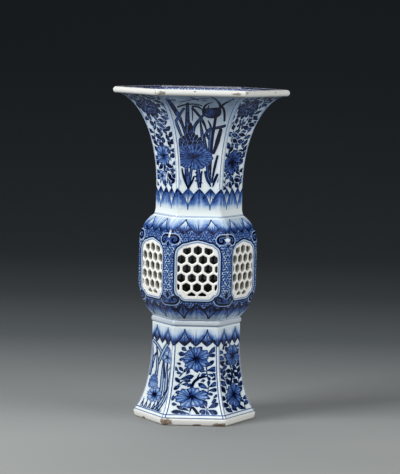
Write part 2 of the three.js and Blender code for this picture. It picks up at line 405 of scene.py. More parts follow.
def stroke(brush, points, width, start, end, count=12, bent=False):
    """A brush stroke along a curve or a bent line, tapering from start to end shares of its width."""
    path = np.asarray(points, float) if bent else bezier(points, count)
    widths = width / 2 * np.interp(np.linspace(0, 1, len(path)), [0, 0.45, 1], [start, 1, end])
    best = np.full(brush.u.shape, FAR)
    for a, b, wide, narrow in zip(path[:-1], path[1:], widths[:-1], widths[1:]):
        away, t = to_run(brush.u, brush.s, a, b)
        best = np.minimum(best, away - (wide * (1 - t) + narrow * t))
    return best


def paint_line(brush, points, width, tone, start, end, bent=False):
    """One stroke of full ink."""
    part = brush.near(points, width + 2)
    part.draw(stroke(part, points, 1.2 * width, start, end, 12, bent), tone)
    brush.lay(part)


def paint_leaf(brush, base, tip, width, dark, body, belly=1.6, gap=0.3, point=0.7):
    """A spoon-shaped leaf: a dark edge, a heaped tip and a thinner body, and a white gap round it."""
    part = brush.near([base, tip], width / 2 + 2)
    shape, share = leaf(part, base, tip, width, belly, point)
    part.clear(shape - gap)
    part.fill(shape, body + (dark - body) * np.clip(share * 2.6 - 1.5, 0, 1))
    part.draw(np.abs(shape + 0.22) - 0.34, dark)
    brush.lay(part)


def paint_leaves(brush, leaves, body):
    """Leaves given as base across, base up, tip across, tip up and width."""
    for base_u, base_s, tip_u, tip_s, width in leaves:
        paint_leaf(brush, (base_u, base_s), (tip_u, tip_s), width, 1.0, body)


def paint_foliage(brush, half_at, low, high, blooms, seed):
    """Fills a panel with wavy stems and fat leaves on both sides of each, leaving room for the blooms.

    The leaves are spread sideways, as they are meant to be seen from the front of the vase. A bloom is its
    middle across and up, and its half width and height.
    """
    rng = np.random.default_rng(seed)
    canvas = brush.widened(FOLIAGE_SPREAD)
    widest = (float(half_at(high)) - 2.0) / FOLIAGE_SPREAD
    stems = int(2 * widest / STEM_SPACING) + 1
    for number in range(stems):
        place = (number + 0.5) / stems * 2 - 1
        phase, points = rng.uniform(0, 6.3), []
        for s in np.arange(low, high, 2.6):
            half = (float(half_at(s)) - 2.2) / FOLIAGE_SPREAD
            u = place * (0.25 * half + 0.75 * widest) + 1.1 * math.sin(s * 0.3 + phase)
            if abs(u) < half:
                points.append((u, s))
        for k, (u, s) in enumerate(points):
            side = 1 if k % 2 else -1
            rise, length = rng.uniform(0.2, 1.35), rng.uniform(5.4, 7.6)
            tip = (u + side * length * math.cos(rise), s + length * math.sin(rise))
            shade = 0.98 + rng.uniform(-0.22, 0.08)
            middle = (FOLIAGE_SPREAD * (u + tip[0]) / 2, (s + tip[1]) / 2)
            if any(math.hypot((middle[0] - x) / a, (middle[1] - y) / b) < 0.98 for x, y, a, b in blooms):
                continue
            if k:
                paint_line(canvas, [points[k - 1], (u, s)], 0.55, 1.0, 1.0, 1.0, True)
            paint_leaf(canvas, (u + side * 0.2, s), tip, rng.uniform(2.9, 3.7), 1.0, shade, 0.95, 0.6, 1.15)


def paint_blossom(brush, centre, half_u, half_s, petals, density, turn, dark=0.9, heart=0.5):
    """An open flower: broad notched petals round a dark heart of short strokes."""
    part = brush.near([centre], max(half_u, half_s) * 1.2 + 2)
    across, up = (part.u - centre[0]) / half_u, (part.s - centre[1]) / half_s
    angle, span = np.arctan2(up, across), np.hypot(across, up)
    scale = min(half_u, half_s)
    for k in [*range(0, petals, 2), *range(1, petals, 2)]:
        heading = turn + 2 * math.pi * (k + 0.16 * math.sin(7 * k + turn)) / petals
        reach = 1 + 0.1 * math.sin(5 * k + 3 * turn)
        off = (np.remainder(angle - heading + math.pi, 2 * math.pi) - math.pi) / (math.pi / petals * 1.2)
        rim = reach * (1 - 0.22 * np.clip(np.abs(off), 0, 1.3) ** 2.2 - 0.05 * np.cos(off * 9.4))
        sides = (np.abs(off) - 1) * np.maximum(span, 0.12) * scale * math.pi / petals
        shape = np.maximum(sides, (span - rim) * scale)
        part.clear(shape - 0.25)
        pooled = 0.5 * np.clip(0.7 - span, 0, 1) + 0.22 * np.clip((span / rim - 0.84) * 7, 0, 1)
        streaks = 0.16 * np.cos(off * 11 + 2 * k) * np.clip(span * 1.5, 0, 1)
        part.fill(shape, np.clip(density - 0.1 + pooled + streaks + 0.12 * off, 0.05, 1))
        part.draw(np.abs(shape + 0.1) - 0.3, dark)
    for k in range(petals * 2):
        angle = turn + math.pi * (k + 0.3 * math.sin(3 * k)) / petals
        tip = on_oval(centre, half_u, half_s, angle, heart * (1.0 if k % 2 else 0.66))
        part.draw(stroke(part, [centre, tip], 0.95, 1.2, 0.3, 4), 1.0)
    part.draw(oval(part, centre, half_u * 0.1, half_s * 0.11), 1.0)
    brush.lay(part)


def paint_lotus_leaf(brush, centre, half_u, half_s, veins, density):
    """A lotus leaf seen from above: a broad disc with a wavy rim, and veins that fan out from its middle."""
    part = brush.near([centre], max(half_u, half_s) + 3)
    across, up = (part.u - centre[0]) / half_u, (part.s - centre[1]) / half_s
    angle, span = np.arctan2(up, across), np.hypot(across, up)
    rim = 1 + 0.03 * np.cos(veins * angle + 1) + 0.03 * np.cos(5 * angle)
    shape = (span - rim) * min(half_u, half_s)
    part.clear(shape - 0.3)
    streaks = 0.2 * np.cos(2 * veins * angle + 2 * np.sin(3 * angle)) * np.clip(span * 1.4, 0, 1)
    part.fill(shape, np.clip(density + 0.3 * np.clip(0.5 - span, 0, 1) + streaks, 0, 1))
    part.draw(np.abs(shape + 0.1) - 0.34, 0.85)
    for k in range(veins):
        heading = 2 * math.pi * (k + 0.3 * math.sin(3 * k)) / veins
        tip = on_oval(centre, half_u, half_s, heading, 0.8 if k % 2 else 0.5)
        part.draw(stroke(part, [centre, tip], 0.85, 1.4, 0.2, 4), 0.9)
    part.draw(oval(part, centre, 1.7, 1.2), 1.0)
    brush.lay(part)


def paint_aster(brush, centre, half_u, half_s, petals, body, turn=0.0):
    """A many-petalled flower, each petal a dark-edged lobe."""
    for ring, out in ((0, 1.0), (1, 0.62)):
        number = petals - 2 * ring
        for k in range(number):
            angle = turn + 2 * math.pi * (k + 0.5 * ring) / number
            base = on_oval(centre, half_u, half_s, angle, 0.12)
            tip = on_oval(centre, half_u, half_s, angle, out * (1 + 0.1 * math.sin(4 * k + turn)))
            paint_leaf(brush, base, tip, (half_u + half_s) * 0.235 * out, 1.0, body - 0.1 * ring)
    part = brush.near([centre], 4)
    part.draw(oval(part, centre, half_u * 0.15, half_s * 0.15), 1.0)
    brush.lay(part)


def paint_strap(brush, points, width, body, dark=1.0, end=0.2, bent=False, start=0.85):
    """A strap leaf: a wash between two dark edges."""
    part = brush.near(points, width + 2)
    shape = stroke(part, points, width * 1.15, start, end, 16, bent)
    part.clear(shape - 0.4)
    part.fill(shape, body)
    part.draw(np.abs(shape + 0.16) - 0.42, dark)
    brush.lay(part)


def paint_lappets(
    brush, half, root, tip, bend, front_shade, back_shade, heavy, seed, blunt=1.0, dark=1.0, pool=0.0
):
    """Two rows of pointed petals from root to tip, pale at the root and heaped with pigment at the tip.

    Front petals stand on the middle and on both ridges of a face, back ones between them. bend is one
    for straight sides and more for full ones, blunt is below one for rounded tips, and heavy is half the
    width of the outlines. Shades are densities at set shares of the way to the tip, and pool is what the
    sides add to them.
    """
    rng = np.random.default_rng(seed)
    length = abs(tip - root)
    run = (brush.s - root) / (tip - root)
    share = brush.u / half
    for front in (False, True):
        place = share if front else share + 0.5
        off = (place - np.round(place)) * half
        wide = 0.5 * half
        left = np.clip(1 - np.clip(run, 0, 1) ** bend, 0.01, 1)
        reach = wide * left**blunt
        slope = wide * blunt * left ** (blunt - 1) * bend * np.clip(run, 0.02, 1) ** (bend - 1) / length
        side = (np.abs(off) - reach) / np.sqrt(1 + slope**2)
        shape = np.where(run > 1, np.hypot(off, (run - 1) * length), side)
        shape = np.where(run < 0, np.maximum(shape, -run * length), shape)
        across = off / np.maximum(reach, 0.3)
        shade = np.interp(run, LAPPET_STOPS, front_shade if front else back_shade)
        middle = np.exp(-((across / 0.4) ** 2)) * np.clip((run - 0.5) * 2.5, 0, 1)
        shade = shade * (0.84 + 0.22 * np.cos(across * 9 + 1.3 * np.sin(across * 4))) + 0.2 * middle
        shade = shade + pool * np.clip(np.abs(across), 0, 1) ** 3 * np.clip(run * 2.5, 0, 1)
        brush.clear(shape - 0.3)
        brush.fill(shape, np.clip(shade, 0, 1))
        for line in (-0.8, -0.54, -0.28, 0.0, 0.26, 0.53, 0.8):
            begin = 0.16 + 0.3 * rng.random()
            thin = np.abs(across - line) * np.maximum(reach, 0.3) - 0.36 * np.clip((run - begin) * 3, 0, 1.2)
            inside = (run > begin) & (run < 1) & (np.abs(across) < 1)
            brush.draw(np.where(inside, thin, INK_REACH[1]), rng.uniform(0.6, 0.95))
        edge = heavy + 0.3 * np.clip(run - 0.4, 0, 0.6)
        brush.draw(np.where((run > 0.02) & (run < 1.1), np.abs(shape + 0.1) - edge, INK_REACH[1]), dark)


def paint_curls(brush, low, high, half, density, step=(2.0, 1.8), pale=0.1):
    """A ground of small dark curls and pale crescents on blue between two heights."""
    rng = np.random.default_rng(seed=3)
    brush.fill(np.maximum(low - brush.s, brush.s - high), density)
    hook = np.array([(-0.75, -0.6), (-0.95, 0.8), (0.8, 1.15), (0.85, -0.65), (-0.1, -0.2)])
    crescent = np.array([(-1.2, 0.2), (-0.9, 1.4), (0.5, 1.5)])
    for row, height in enumerate(np.arange(low + step[1] / 2, high, step[1])):
        for across in np.arange(-half + 0.5 * step[0] * (row % 2), half, step[0]):
            turn = rng.choice((0.0, 1.57, 3.14, 4.71)) + rng.uniform(-0.5, 0.5)
            place = np.array([across, height]) + rng.uniform(-0.25, 0.25, 2)
            part = brush.near([place], 1.9)
            if len(part.at):
                spin = np.array([[math.cos(turn), math.sin(turn)], [-math.sin(turn), math.cos(turn)]])
                part.fill(stroke(part, place + crescent @ spin, 0.62, 0.7, 0.6, 5), pale + rng.uniform(-0.08, 0.1), 0.3)
                part.draw(stroke(part, place + 0.9 * hook @ spin, 0.6, 0.9, 0.8, 7), 0.94)
                brush.lay(part)


def paint_cloud_head(brush, ridge, height, flip, heart_shade):
    """One half of a cloud head that stands on a ridge: an arch that curls in at its end, with pale edges."""
    sway = -1 if ridge > 0 else 1

    def at(out, up):
        """A place out from the ridge, and up from the head's middle."""
        return (ridge + sway * out, height + flip * up)

    part = brush.near([at(-2, -8), at(13, 7)], 1)
    turns = np.radians(np.linspace(90, -250, 18))
    spans = np.linspace(3.5, 0.9, 18)
    curl = [at(-0.6, 3.5), at(2.6, 3.6)]
    curl += [at(5.2 + 1.1 * r * math.cos(a), r * math.sin(a)) for a, r in zip(turns, spans)]
    band = stroke(part, curl, 2.1, 0.9, 0.8, bent=True)
    heart = np.minimum(oval(part, at(5.0, 0.0), 3.6, 3.3), oval(part, at(0, 2.0), 2.8, 1.5))
    body = np.minimum(band, heart)
    part.clear(body - 0.7)
    part.fill(body - 0.65, 0.2)
    part.fill(body - 0.1, 0.9)
    part.fill(band - 0.25, 0.34)
    # The heart takes the given density: dark blue, or nearly white where it stands partly for a painted highlight
    part.fill(oval(part, at(0.6, 0.6), 3.0, 1.3), heart_shade)
    part.draw(band, 1.0)
    point = leaf(part, at(0.0, -1.4), at(0.0, -6.4), 3.0, 0.7)[0]
    part.fill(point, 0.95)
    part.draw(point + 0.2, 0.95)
    brush.lay(part)


# Compositions. u runs to the right and s up the face, from its foot, in millimetres.


def paint_rows(paint, brush, rows):
    """Paints one stroke or leaf for each row of what follows the brush in its function."""
    for row in rows:
        paint(brush, *row)


def neck_lotus(brush, half_at):
    """A lotus pond: strap leaves, a broad leaf with a flower over it, and a seed head."""
    paint_rows(paint_strap, brush, (
        ([(-26, 97), (-20, 84), (-12.6, 75), (-11.4, 60)], 2.7, 0.8),
        ([(-9.6, 58), (-10.4, 76), (-10.4, 92)], 3.0, 0.82, 1.0, 0.5),
        ([(-13.2, 86.5), (-19.2, 75), (-13.4, 60)], 1.7, 0.6, 1.0, 0.8, True),
        ([(-6.6, 87), (2.4, 77), (3.8, 70.5), (5.0, 66)], 1.6, 0.9),
        ([(-5.4, 62), (-7.0, 76), (2, 76), (6, 90)], 1.9, 0.75),
        ([(1.8, 56), (1.6, 66), (-0.8, 77)], 2.0, 0.7),
        ([(7.6, 52), (6.6, 62), (10.2, 69), (5.6, 76)], 2.2, 0.62),
        ([(19.0, 72.2), (6.4, 68.6), (2.6, 62.6), (5.2, 52)], 1.9, 0.85, 1.0, 0.6, True),
    ))
    # Stalks, dark and as thick as the brush
    paint_rows(paint_line, brush, (
        ([(11.4, 80), (9.6, 66), (8.0, 56), (8.0, 28)], 1.9, 1.0, 1.0, 0.9),
        ([(15.4, 68.5), (13.0, 58), (10.4, 50)], 3.0, 1.0, 0.8, 0.6),
        ([(13.4, 47.5), (11.0, 38), (9.6, 27)], 1.9, 1.0, 0.8, 0.5),
        ([(13.6, 33), (11.6, 29), (10.4, 24)], 1.9, 1.0, 0.9, 0.5),
    ))
    for points, width in (
        ([(-8.6, 22), (-9.6, 30), (-10.6, 41)], 2.6), ([(-8.0, 22), (-7.6, 30), (-5.8, 41)], 1.9),
        ([(-0.4, 23), (-1.6, 32), (-1.0, 42)], 2.5), ([(1.0, 23), (0.6, 30), (1.6, 35)], 1.2),
        ([(8.6, 24), (6.0, 33), (5.4, 44)], 1.9), ([(8.8, 24), (5.4, 29), (4.2, 35)], 1.5),
    ):
        paint_strap(brush, points, width, 0.72, 1.0, 0.75, False, 0.3)
    paint_line(brush, [(-13.6, 37), (-12.4, 30), (-9.4, 24)], 1.5, 1.0, 0.7, 0.9)
    paint_line(brush, [(-4.4, 31), (-5.6, 27), (-7.6, 23)], 1.4, 1.0, 0.9, 0.6)
    for across, up in ((-3.2, 34.5), (-3.4, 31.5), (-3.0, 28.0), (0.6, 38.0), (1.0, 27.0)):
        paint_line(brush, [(across, up), (across + 1.2, up - 0.6)], 0.9, 0.95, 1.0, 0.6)
    # The flower stands behind the leaf, its outer petals before its inner ones
    paint_leaf(brush, (-7.8, 58), (-8.0, 74.5), 4.4, 1.0, 0.92)
    for across, up, width in (
        (-5.0, 66.5, 3.4), (-10.8, 66.0, 3.4), (-13.4, 63.4, 3.8), (-2.6, 64.6, 3.6), (-15.8, 61.6, 4.0),
        (0.4, 62.8, 4.0), (-17.8, 58.0, 4.2), (2.6, 59.6, 4.2), (-18.4, 53.4, 4.2), (3.6, 55.4, 4.2),
    ):
        paint_leaf(brush, (-7.4 + 0.5 * (across + 7.4), 51), (across, up), width, 1.0, 0.88)
    for across in (-14.4, -10.8, -7.2, -3.6, 0.0):
        paint_leaf(brush, (across, 49), (across - 0.6, 59.4), 4.4, 1.0, 0.8)
    paint_lotus_leaf(brush, (-5.0, 46.4), 14.2, 9.4, 13, 0.7)
    # The seed head is a cup, cut off level and paler in its middle
    pod = brush.near([(8, 83)], 11)
    shape = np.maximum(oval(pod, (8.2, 84.2), 7.0, 5.6), pod.s - 87.4 - 0.12 * (pod.u - 8))
    pod.clear(shape - 0.5)
    pod.fill(shape, np.clip(0.94 - 0.26 * np.exp(-((pod.u - 7.5) ** 2 + (pod.s - 83) ** 2) / 9), 0, 1))
    pod.draw(np.abs(shape) - 0.5, 1.0)
    brush.lay(pod)
    # Loose strokes among the leaves at the top
    paint_rows(paint_line, brush, (
        ([(14.4, 86.5), (15.4, 92), (12, 97), (6.6, 102)], 1.7, 1.0, 0.8, 0.5),
        ([(15.4, 90.4), (18.6, 86), (18.0, 76.5)], 1.7, 1.0, 1.0, 0.8),
        ([(15.2, 90), (19, 94), (24.5, 98.2)], 1.5, 1.0, 1.1, 0.8),
        ([(1.6, 84), (2.0, 92), (8.4, 93.4)], 1.5, 1.0, 1.1, 0.5),
        ([(-17.6, 88.0), (-8, 93.6), (0.4, 89.8)], 1.3, 1.0, 1.0, 0.7),
        ([(-6.4, 89.0), (-2, 89.6), (0.6, 86)], 1.6, 0.95, 0.9, 0.5),
        ([(-22.5, 95.6), (-19.5, 95.2)], 1.4, 1.0, 0.8, 0.8),
        ([(-15.4, 93.4), (-6, 97.5), (5.6, 98.6)], 1.0, 0.9, 0.7, 0.6),
        ([(-8.2, 100.4), (-4.5, 96.5), (-1.4, 95.4)], 1.1, 1.0, 0.8, 0.6),
        ([(0.6, 95.6), (4.2, 95.2)], 1.3, 1.0, 0.8, 0.8),
        ([(-6.8, 85.5), (-6.2, 81), (-6.4, 76)], 0.9, 0.9, 0.6, 0.6),
    ))
    paint_leaves(brush, ((6.2, 60, 4.6, 66, 1.8), (13.8, 27, 16.2, 31.5, 1.8), (-14.4, 25, -15.6, 29.5, 1.6)), 0.9)


def neck_peony(brush, half_at):
    """Peony sprays: two large dark flowers and a small one among dense leaves."""
    blooms = ((-5.4, 86.8, 14.5, 8.0), (-3.4, 42.5, 12.6, 9.6), (-3.6, 73.0, 5.4, 4.6))
    paint_foliage(brush, half_at, 21.5, 98.0, blooms, 5)
    paint_aster(brush, (-5.4, 86.8), 16.5, 9.0, 11, 0.92)
    paint_blossom(brush, (-3.4, 42.5), 13.2, 9.8, 7, 0.8, 0.4, 1.0, 0.6)
    paint_aster(brush, (-3.6, 73.0), 6.4, 5.2, 6, 0.9, 0.3)


def neck_camellia(brush, half_at):
    """Camellia sprays: a dark flower above, a clear blue one in the middle and a small pale one below."""
    blooms = ((-4.9, 86.4, 15.5, 7.8), (-2.5, 45.9, 8.8, 7.4), (-6.7, 30.2, 5.0, 3.6))
    paint_foliage(brush, half_at, 22.0, 98.0, blooms, 17)
    paint_aster(brush, (-4.9, 86.4), 17.0, 9.0, 11, 0.92, 0.2)
    paint_blossom(brush, (-2.5, 45.9), 10.4, 8.4, 5, 0.6, 0.9, 0.95)
    paint_blossom(brush, (-6.7, 30.2), 5.6, 4.2, 5, 0.42, 0.5, 0.85)


# Base across and up, tip across and up, and width
FOOT_FRONT_LEAVES = (
    (-7.0, 49.8, -13.2, 50.8, 3.4), (-6.6, 52.6, -10.8, 55.6, 2.9), (-7.4, 47.6, -12.6, 45.6, 2.2),
    (-8.5, 36.6, -12.6, 40.2, 2.3), (-9.4, 35.8, -6.2, 39.4, 2.3), (-10.2, 35.2, -14.4, 36.0, 2.0),
    (-12.2, 30.4, -0.8, 33.6, 3.6), (-10.6, 27.4, -15.4, 31.8, 2.8), (-9.8, 29.4, -3.2, 29.8, 2.1),
    (-10.4, 26.8, -4.6, 27.2, 2.3), (-11.0, 26.0, -16.4, 22.8, 2.6), (-9.6, 21.6, -15.0, 20.2, 2.5),
    (-7.4, 5.6, -17.8, 5.2, 3.2), (-7.4, 6.6, -13.8, 10.0, 2.6), (-5.4, 4.6, -11.4, 3.2, 2.2),
    (-4.0, 6.4, -9.4, 8.6, 2.0), (8.2, 40.4, 14.4, 45.8, 2.9), (8.6, 37.9, 18.0, 39.8, 4.0),
    (8.6, 37.4, 2.8, 38.0, 2.4), (9.4, 35.4, 4.4, 34.2, 2.3), (9.8, 35.2, 14.8, 34.0, 2.4),
    (9.2, 33.6, 12.0, 30.6, 2.3), (10.4, 23.6, 2.6, 27.8, 3.6), (10.6, 25.0, 17.8, 28.9, 3.3),
    (10.5, 22.6, 17.9, 23.4, 2.9), (10.4, 25.6, 10.9, 30.4, 2.4), (9.6, 21.5, 4.4, 21.9, 2.4),
    (9.4, 20.2, 14.2, 19.5, 2.2), (7.8, 17.6, 12.0, 16.4, 2.2), (9.0, 8.4, 3.8, 11.4, 2.9),
    (9.4, 9.2, 8.2, 14.8, 2.9), (10.4, 8.6, 18.6, 12.8, 3.5), (10.4, 7.4, 18.0, 4.2, 4.2),
    (8.6, 7.6, 3.8, 5.4, 2.6), (9.0, 7.0, 5.6, 2.4, 2.6), (9.6, 6.8, 10.8, 2.2, 2.6),
    (2.4, 52.2, 4.6, 56.6, 2.8), (9.0, 50.4, 17.4, 56.8, 3.5), (8.2, 49.2, 16.0, 50.2, 2.7),
    (-2.4, 52.8, -5.0, 56.4, 2.5), (-3.0, 40.4, -7.2, 38.0, 2.6), (0.0, 39.8, 2.2, 36.4, 2.6),
    (3.2, 40.6, 7.0, 38.8, 2.2), (-14.6, 43.4, -11.2, 42.4, 1.8), (14.4, 16.4, 17.8, 19.6, 1.9),
    (-13.0, 37.0, -16.6, 40.4, 2.4), (-7.0, 34.4, -4.4, 38.2, 2.4), (13.6, 36.4, 17.4, 33.2, 2.4),
    (12.6, 30.8, 16.6, 32.2, 2.2), (-6.0, 24.8, -2.8, 27.4, 2.2), (4.4, 29.4, 7.8, 30.6, 2.0),
    (-16.0, 18.6, -17.6, 14.2, 2.6), (13.0, 12.6, 16.8, 16.0, 2.6), (-13.4, 11.0, -17.6, 11.6, 2.4),
)


def foot_blossoms(brush, half_at):
    """Two open flowers one above the other, a knotted dark branch between them and leaves all round."""
    for points in (
        [(9.0, 44), (8.2, 38), (10, 33)], [(10.2, 19), (10.6, 23), (10.4, 28)], [(9.6, 2.4), (9.8, 8.4)],
        [(-15, 25), (-11, 27), (-8.4, 31)], [(-3.2, 3.4), (-7, 5.4), (-12, 5.6)], [(-12, 33), (-9.6, 35.6)],
    ):
        paint_line(brush, points, 0.8, 1.0, 1.0, 0.8)
    paint_leaves(brush, FOOT_FRONT_LEAVES, 0.8)
    paint_rows(paint_line, brush, (
        ([(-2.6, 24), (-1.6, 29.4), (2.2, 31.2)], 1.9, 1.0, 1.2, 0.9),
        ([(1.8, 31.4), (5, 33.2), (9.4, 33.2)], 1.7, 1.0, 1.0, 0.5),
        ([(1.4, 31.4), (3.4, 35.4)], 1.0, 1.0, 1.0, 0.5),
        ([(-3.4, 11), (1.2, 7), (4.4, 1.6)], 1.9, 1.0, 0.9, 1.1),
        ([(-2.4, 9.4), (-3.6, 5.4)], 1.2, 1.0, 1.0, 0.5),
    ))
    paint_blossom(brush, (0.2, 47.0), 10.4, 8.8, 7, 0.64, 0.5)
    paint_blossom(brush, (-2.6, 17.4), 12.6, 8.0, 6, 0.56, 0.15)


def foot_branch(brush, half_at):
    """A dark branch climbing the face, with two flowers and leaves."""
    blooms = ((4.8, 47.6, 8.4, 7.8), (0.4, 17.0, 10.6, 8.6))
    paint_foliage(brush, half_at, 4.0, 54.0, blooms, 29)
    paint_rows(paint_line, brush, (
        ([(9.2, 37), (4.0, 36), (1.0, 32), (-0.6, 24)], 1.9, 1.0, 0.7, 1.1),
        ([(1.6, 10.6), (5.6, 7), (12.4, 2.6)], 1.9, 1.0, 0.9, 1.0),
        ([(2.4, 34), (-2.4, 36.4), (-8.4, 36.4)], 0.9, 1.0, 1.0, 0.6),
        ([(4.6, 36), (8.8, 31), (13.4, 28.4)], 0.9, 1.0, 1.0, 0.6),
    ))
    paint_blossom(brush, (4.8, 47.2), 10.4, 8.6, 6, 0.7, 0.9, 1.0)
    paint_blossom(brush, (0.4, 17.0), 11.6, 9.4, 7, 0.7, 0.4, 1.0)


def foot_lotus(brush, half_at):
    """Water plants in clear pale blue: strap leaves, a lotus, a round leaf and a bud high up."""
    canvas = brush.widened(STRAP_SPREAD)
    for points, width in (
        ([(-14.5, 57), (-4.0, 53), (1.4, 50), (5.2, 42), (8.6, 30)], 1.9),
        ([(10.2, 58), (0.8, 51), (-3.6, 42), (-7.4, 30)], 1.9),
        ([(-13.4, 36), (-13.6, 44), (-8.0, 48)], 1.6), ([(-14.8, 30), (-14.4, 46), (-15.6, 56)], 1.4),
        ([(8.2, 10), (6.4, 26), (2.2, 36), (4.0, 44)], 2.0), ([(14.0, 12), (13.6, 24), (9.2, 36), (10.6, 44)], 2.0),
        ([(-4.6, 30), (-5.0, 42), (-9.2, 54)], 1.6), ([(17.0, 42), (18.2, 36), (15.8, 26), (16.0, 16)], 1.8),
        ([(9.0, 3), (13.4, 10), (17.4, 18), (18.6, 29)], 2.1), ([(3.0, 2.6), (9.8, 8), (13.0, 14), (14.6, 22)], 2.1),
    ):
        paint_strap(canvas, [(across / STRAP_SPREAD, up) for across, up in points], width * 1.15, 0.3)
    # Grass along the foot
    for across in range(-17, 15, 3):
        base = (across + 0.6, 2.2)
        paint_line(brush, [base, (across, 6), (across + 2.4 * math.sin(across), 10.4)], 1.3, 0.9, 1.0, 0.3)
        paint_line(brush, [(across + 1.8, 2.4), (across + 3.0, 5.4)], 1.0, 0.85, 1.0, 0.3)
    paint_blossom(brush, (-1.6, 15.4), 10.4, 6.6, 9, 0.46, 0.4, 0.8, 0.6)
    # The lotus above it
    for k in range(9):
        angle = math.pi * (0.02 + 0.12 * k)
        base, tip = (-7.2 + 1.2 * math.cos(angle), 20), on_oval((-7.4, 22.2), 7.6, 9.2, angle)
        paint_leaf(brush, base, tip, 4.0, 0.78, 0.44)
    for across in (-3.6, 0.0, 3.6):
        paint_leaf(brush, (-7.2 + across * 0.4, 18.6), (-7.2 + across, 27.4), 4.0, 0.78, 0.38)
    # The bud and the round leaf on the right
    for k in range(7):
        tip = on_oval((9.4, 49.0), 5.2, 6.4, math.pi * (0.08 + 0.14 * k))
        paint_leaf(brush, (9.4, 47.4), tip, 2.6, 0.85, 0.5)
    paint_blossom(brush, (9.4, 46.4), 6.6, 5.0, 5, 0.4, 0.6, 0.78)
    paint_line(brush, [(14.4, 48), (17.4, 43), (15.4, 38), (11.4, 36)], 0.9, 0.95, 0.8, 0.6)


NECK_DESIGNS = (neck_lotus, neck_peony, neck_camellia)
FOOT_DESIGNS = (foot_blossoms, foot_branch, foot_lotus)


def half_width_at(outline):
    """The function that gives half the width of a face at a rise along it."""
    return lambda s: np.interp(s, outline.rise, outline.flat) * math.tan(HALF_SIDE)


class Face:
    """Where each vertex of a slab lies on its face."""

    def __init__(self, mesh, outline, roundness):
        co = coordinates(mesh)
        flat = np.interp(co[:, 2], outline.z, outline.flat)
        self.u, self.z = co[:, 0], co[:, 2]
        self.depth = flat + co[:, 1]
        self.rise = np.interp(co[:, 2], outline.z, outline.rise)
        self.half = flat * math.tan(HALF_SIDE)
        self.ridge = self.half - np.abs(self.u)
        self.outer = self.depth < roundness * (1 - FLAT) + 0.6  # the face and its rolled corners


def store_painting(mesh, face, brush, edge=None, lining=None, lined=(0.0, math.inf)):
    """Stores a painted face, and the lining painted on its inner side, for the material to read.

    edge is the distance to the window, and lined the lowest and highest rise of the lines along the ridges.
    """
    away = np.full(face.u.shape, FAR)
    inner = Brush(face.u, face.rise) if lining is None else lining
    near_lines = (face.rise > lined[0]) & (face.rise < lined[1])
    pairs = (
        (face.rise, away), (np.where(near_lines, face.ridge, away), away),
        (brush.ink, inner.ink), (brush.tone, inner.tone), (brush.wash, inner.wash),
    )
    set_paint(mesh, face.u, *(np.where(face.outer, *pair) for pair in pairs))
    set_values(mesh, "edge_mm", away if edge is None else np.where(face.outer, edge, away))
    set_values(mesh, "depth_mm", face.depth)


# Window


def window_half(half_width, half_height):
    """Right half of the window's outline about its middle: bends as control and end, or straight runs."""
    b, arch = 5.0, 2.2  # size of the brackets in the corners, and rise of the arched top
    brow = half_height - arch
    return [
        [(half_width - 1.5 * b, -half_height)],
        [(half_width - 0.9 * b, -half_height + 0.1 * b), (half_width - 0.7 * b, -half_height + 0.7 * b)],
        [(half_width, -half_height + 0.7 * b), (half_width, -half_height + 1.7 * b)],
        [(half_width, brow - 1.8 * b)],
        [(half_width, brow - 0.5 * b), (half_width - 0.7 * b, brow - 0.4 * b)],
        [(half_width - 0.8 * b, brow), (half_width - 1.5 * b, brow)],
        [(half_width * 0.35, brow + 0.6 * arch), (0, half_height)],
    ]


def window_outline(sizes, side_margin=0.0, end_margin=0.0):
    """The window's outline as points about its middle, drawn in by its margins."""
    half_width = sizes.window_width / 2 - side_margin
    half_height = sizes.window_height / 2 - end_margin
    points = [(0.0, -half_height)]
    for bend in window_half(half_width, half_height):
        if len(bend) == 1:
            points.append(bend[0])
        else:
            points.extend(tuple(p) for p in bezier([points[-1], *bend], 7)[1:])
    return points + [(-x, z) for x, z in reversed(points[1:-1])]


def distance_to(points, u, s):
    """Distance from each place to a closed outline, negative inside."""
    best = np.full(u.shape, 1e3)
    inside = np.zeros(u.shape, bool)
    for a, b in zip(points, points[1:] + points[:1]):
        best = np.minimum(best, to_run(u, s, a, b)[0])
        crosses = (a[1] > s) != (b[1] > s)
        rise = (b[1] - a[1]) or 1e-9
        inside ^= crosses & (u < (b[0] - a[0]) * (s - a[1]) / rise + a[0])
    return np.where(inside, -best, best)


def prism(name, outlines, height):
    """Upright outlines about a height, each pushed through the front wall as a closed block."""
    near, far = -60.0, -24.0  # in front of the wall and behind it
    bm = bmesh.new()
    for points in outlines:
        rim = [bm.verts.new((x, near, z + height)) for x, z in points]
        face = bm.faces.new(rim)
        pushed = bmesh.ops.extrude_face_region(bm, geom=[face])["geom"]
        back = [v for v in pushed if isinstance(v, bmesh.types.BMVert)]
        bmesh.ops.translate(bm, verts=back, vec=(0, far - near, 0))
    return to_mesh(name, bm)


def cut(operation, other):
    """The step that cuts a mesh with another one."""
    helper = bpy.data.objects.new("cutter", other)
    return "BOOLEAN", {"object": helper, "operation": operation, "solver": "EXACT"}


def finished(mesh, *steps):
    """A mesh after the given modifiers; each step is a kind and its settings."""
    holder = bpy.data.objects.new("work", mesh)
    helpers = [value for _, settings in steps for value in settings.values() if isinstance(value, bpy.types.Object)]
    for thing in [holder, *helpers]:
        bpy.context.collection.objects.link(thing)
    for kind, settings in steps:
        modifier = holder.modifiers.new(kind.title(), kind)
        for name, value in settings.items():
            setattr(modifier, name, value)
    result = bpy.data.meshes.new_from_object(holder.evaluated_get(bpy.context.evaluated_depsgraph_get()))
    for thing in [holder, *helpers]:
        bpy.data.objects.remove(thing)
    return result


# Materials. Patterns take object coordinates in metres, so a scale of 1000 gives grains of a millimetre.

# Sockets of the mixing node, by number because their names repeat
SHARE, FLOAT_A, FLOAT_B, COLOUR_A, COLOUR_B, COLOUR_OUT = 0, 2, 3, 6, 7, 2


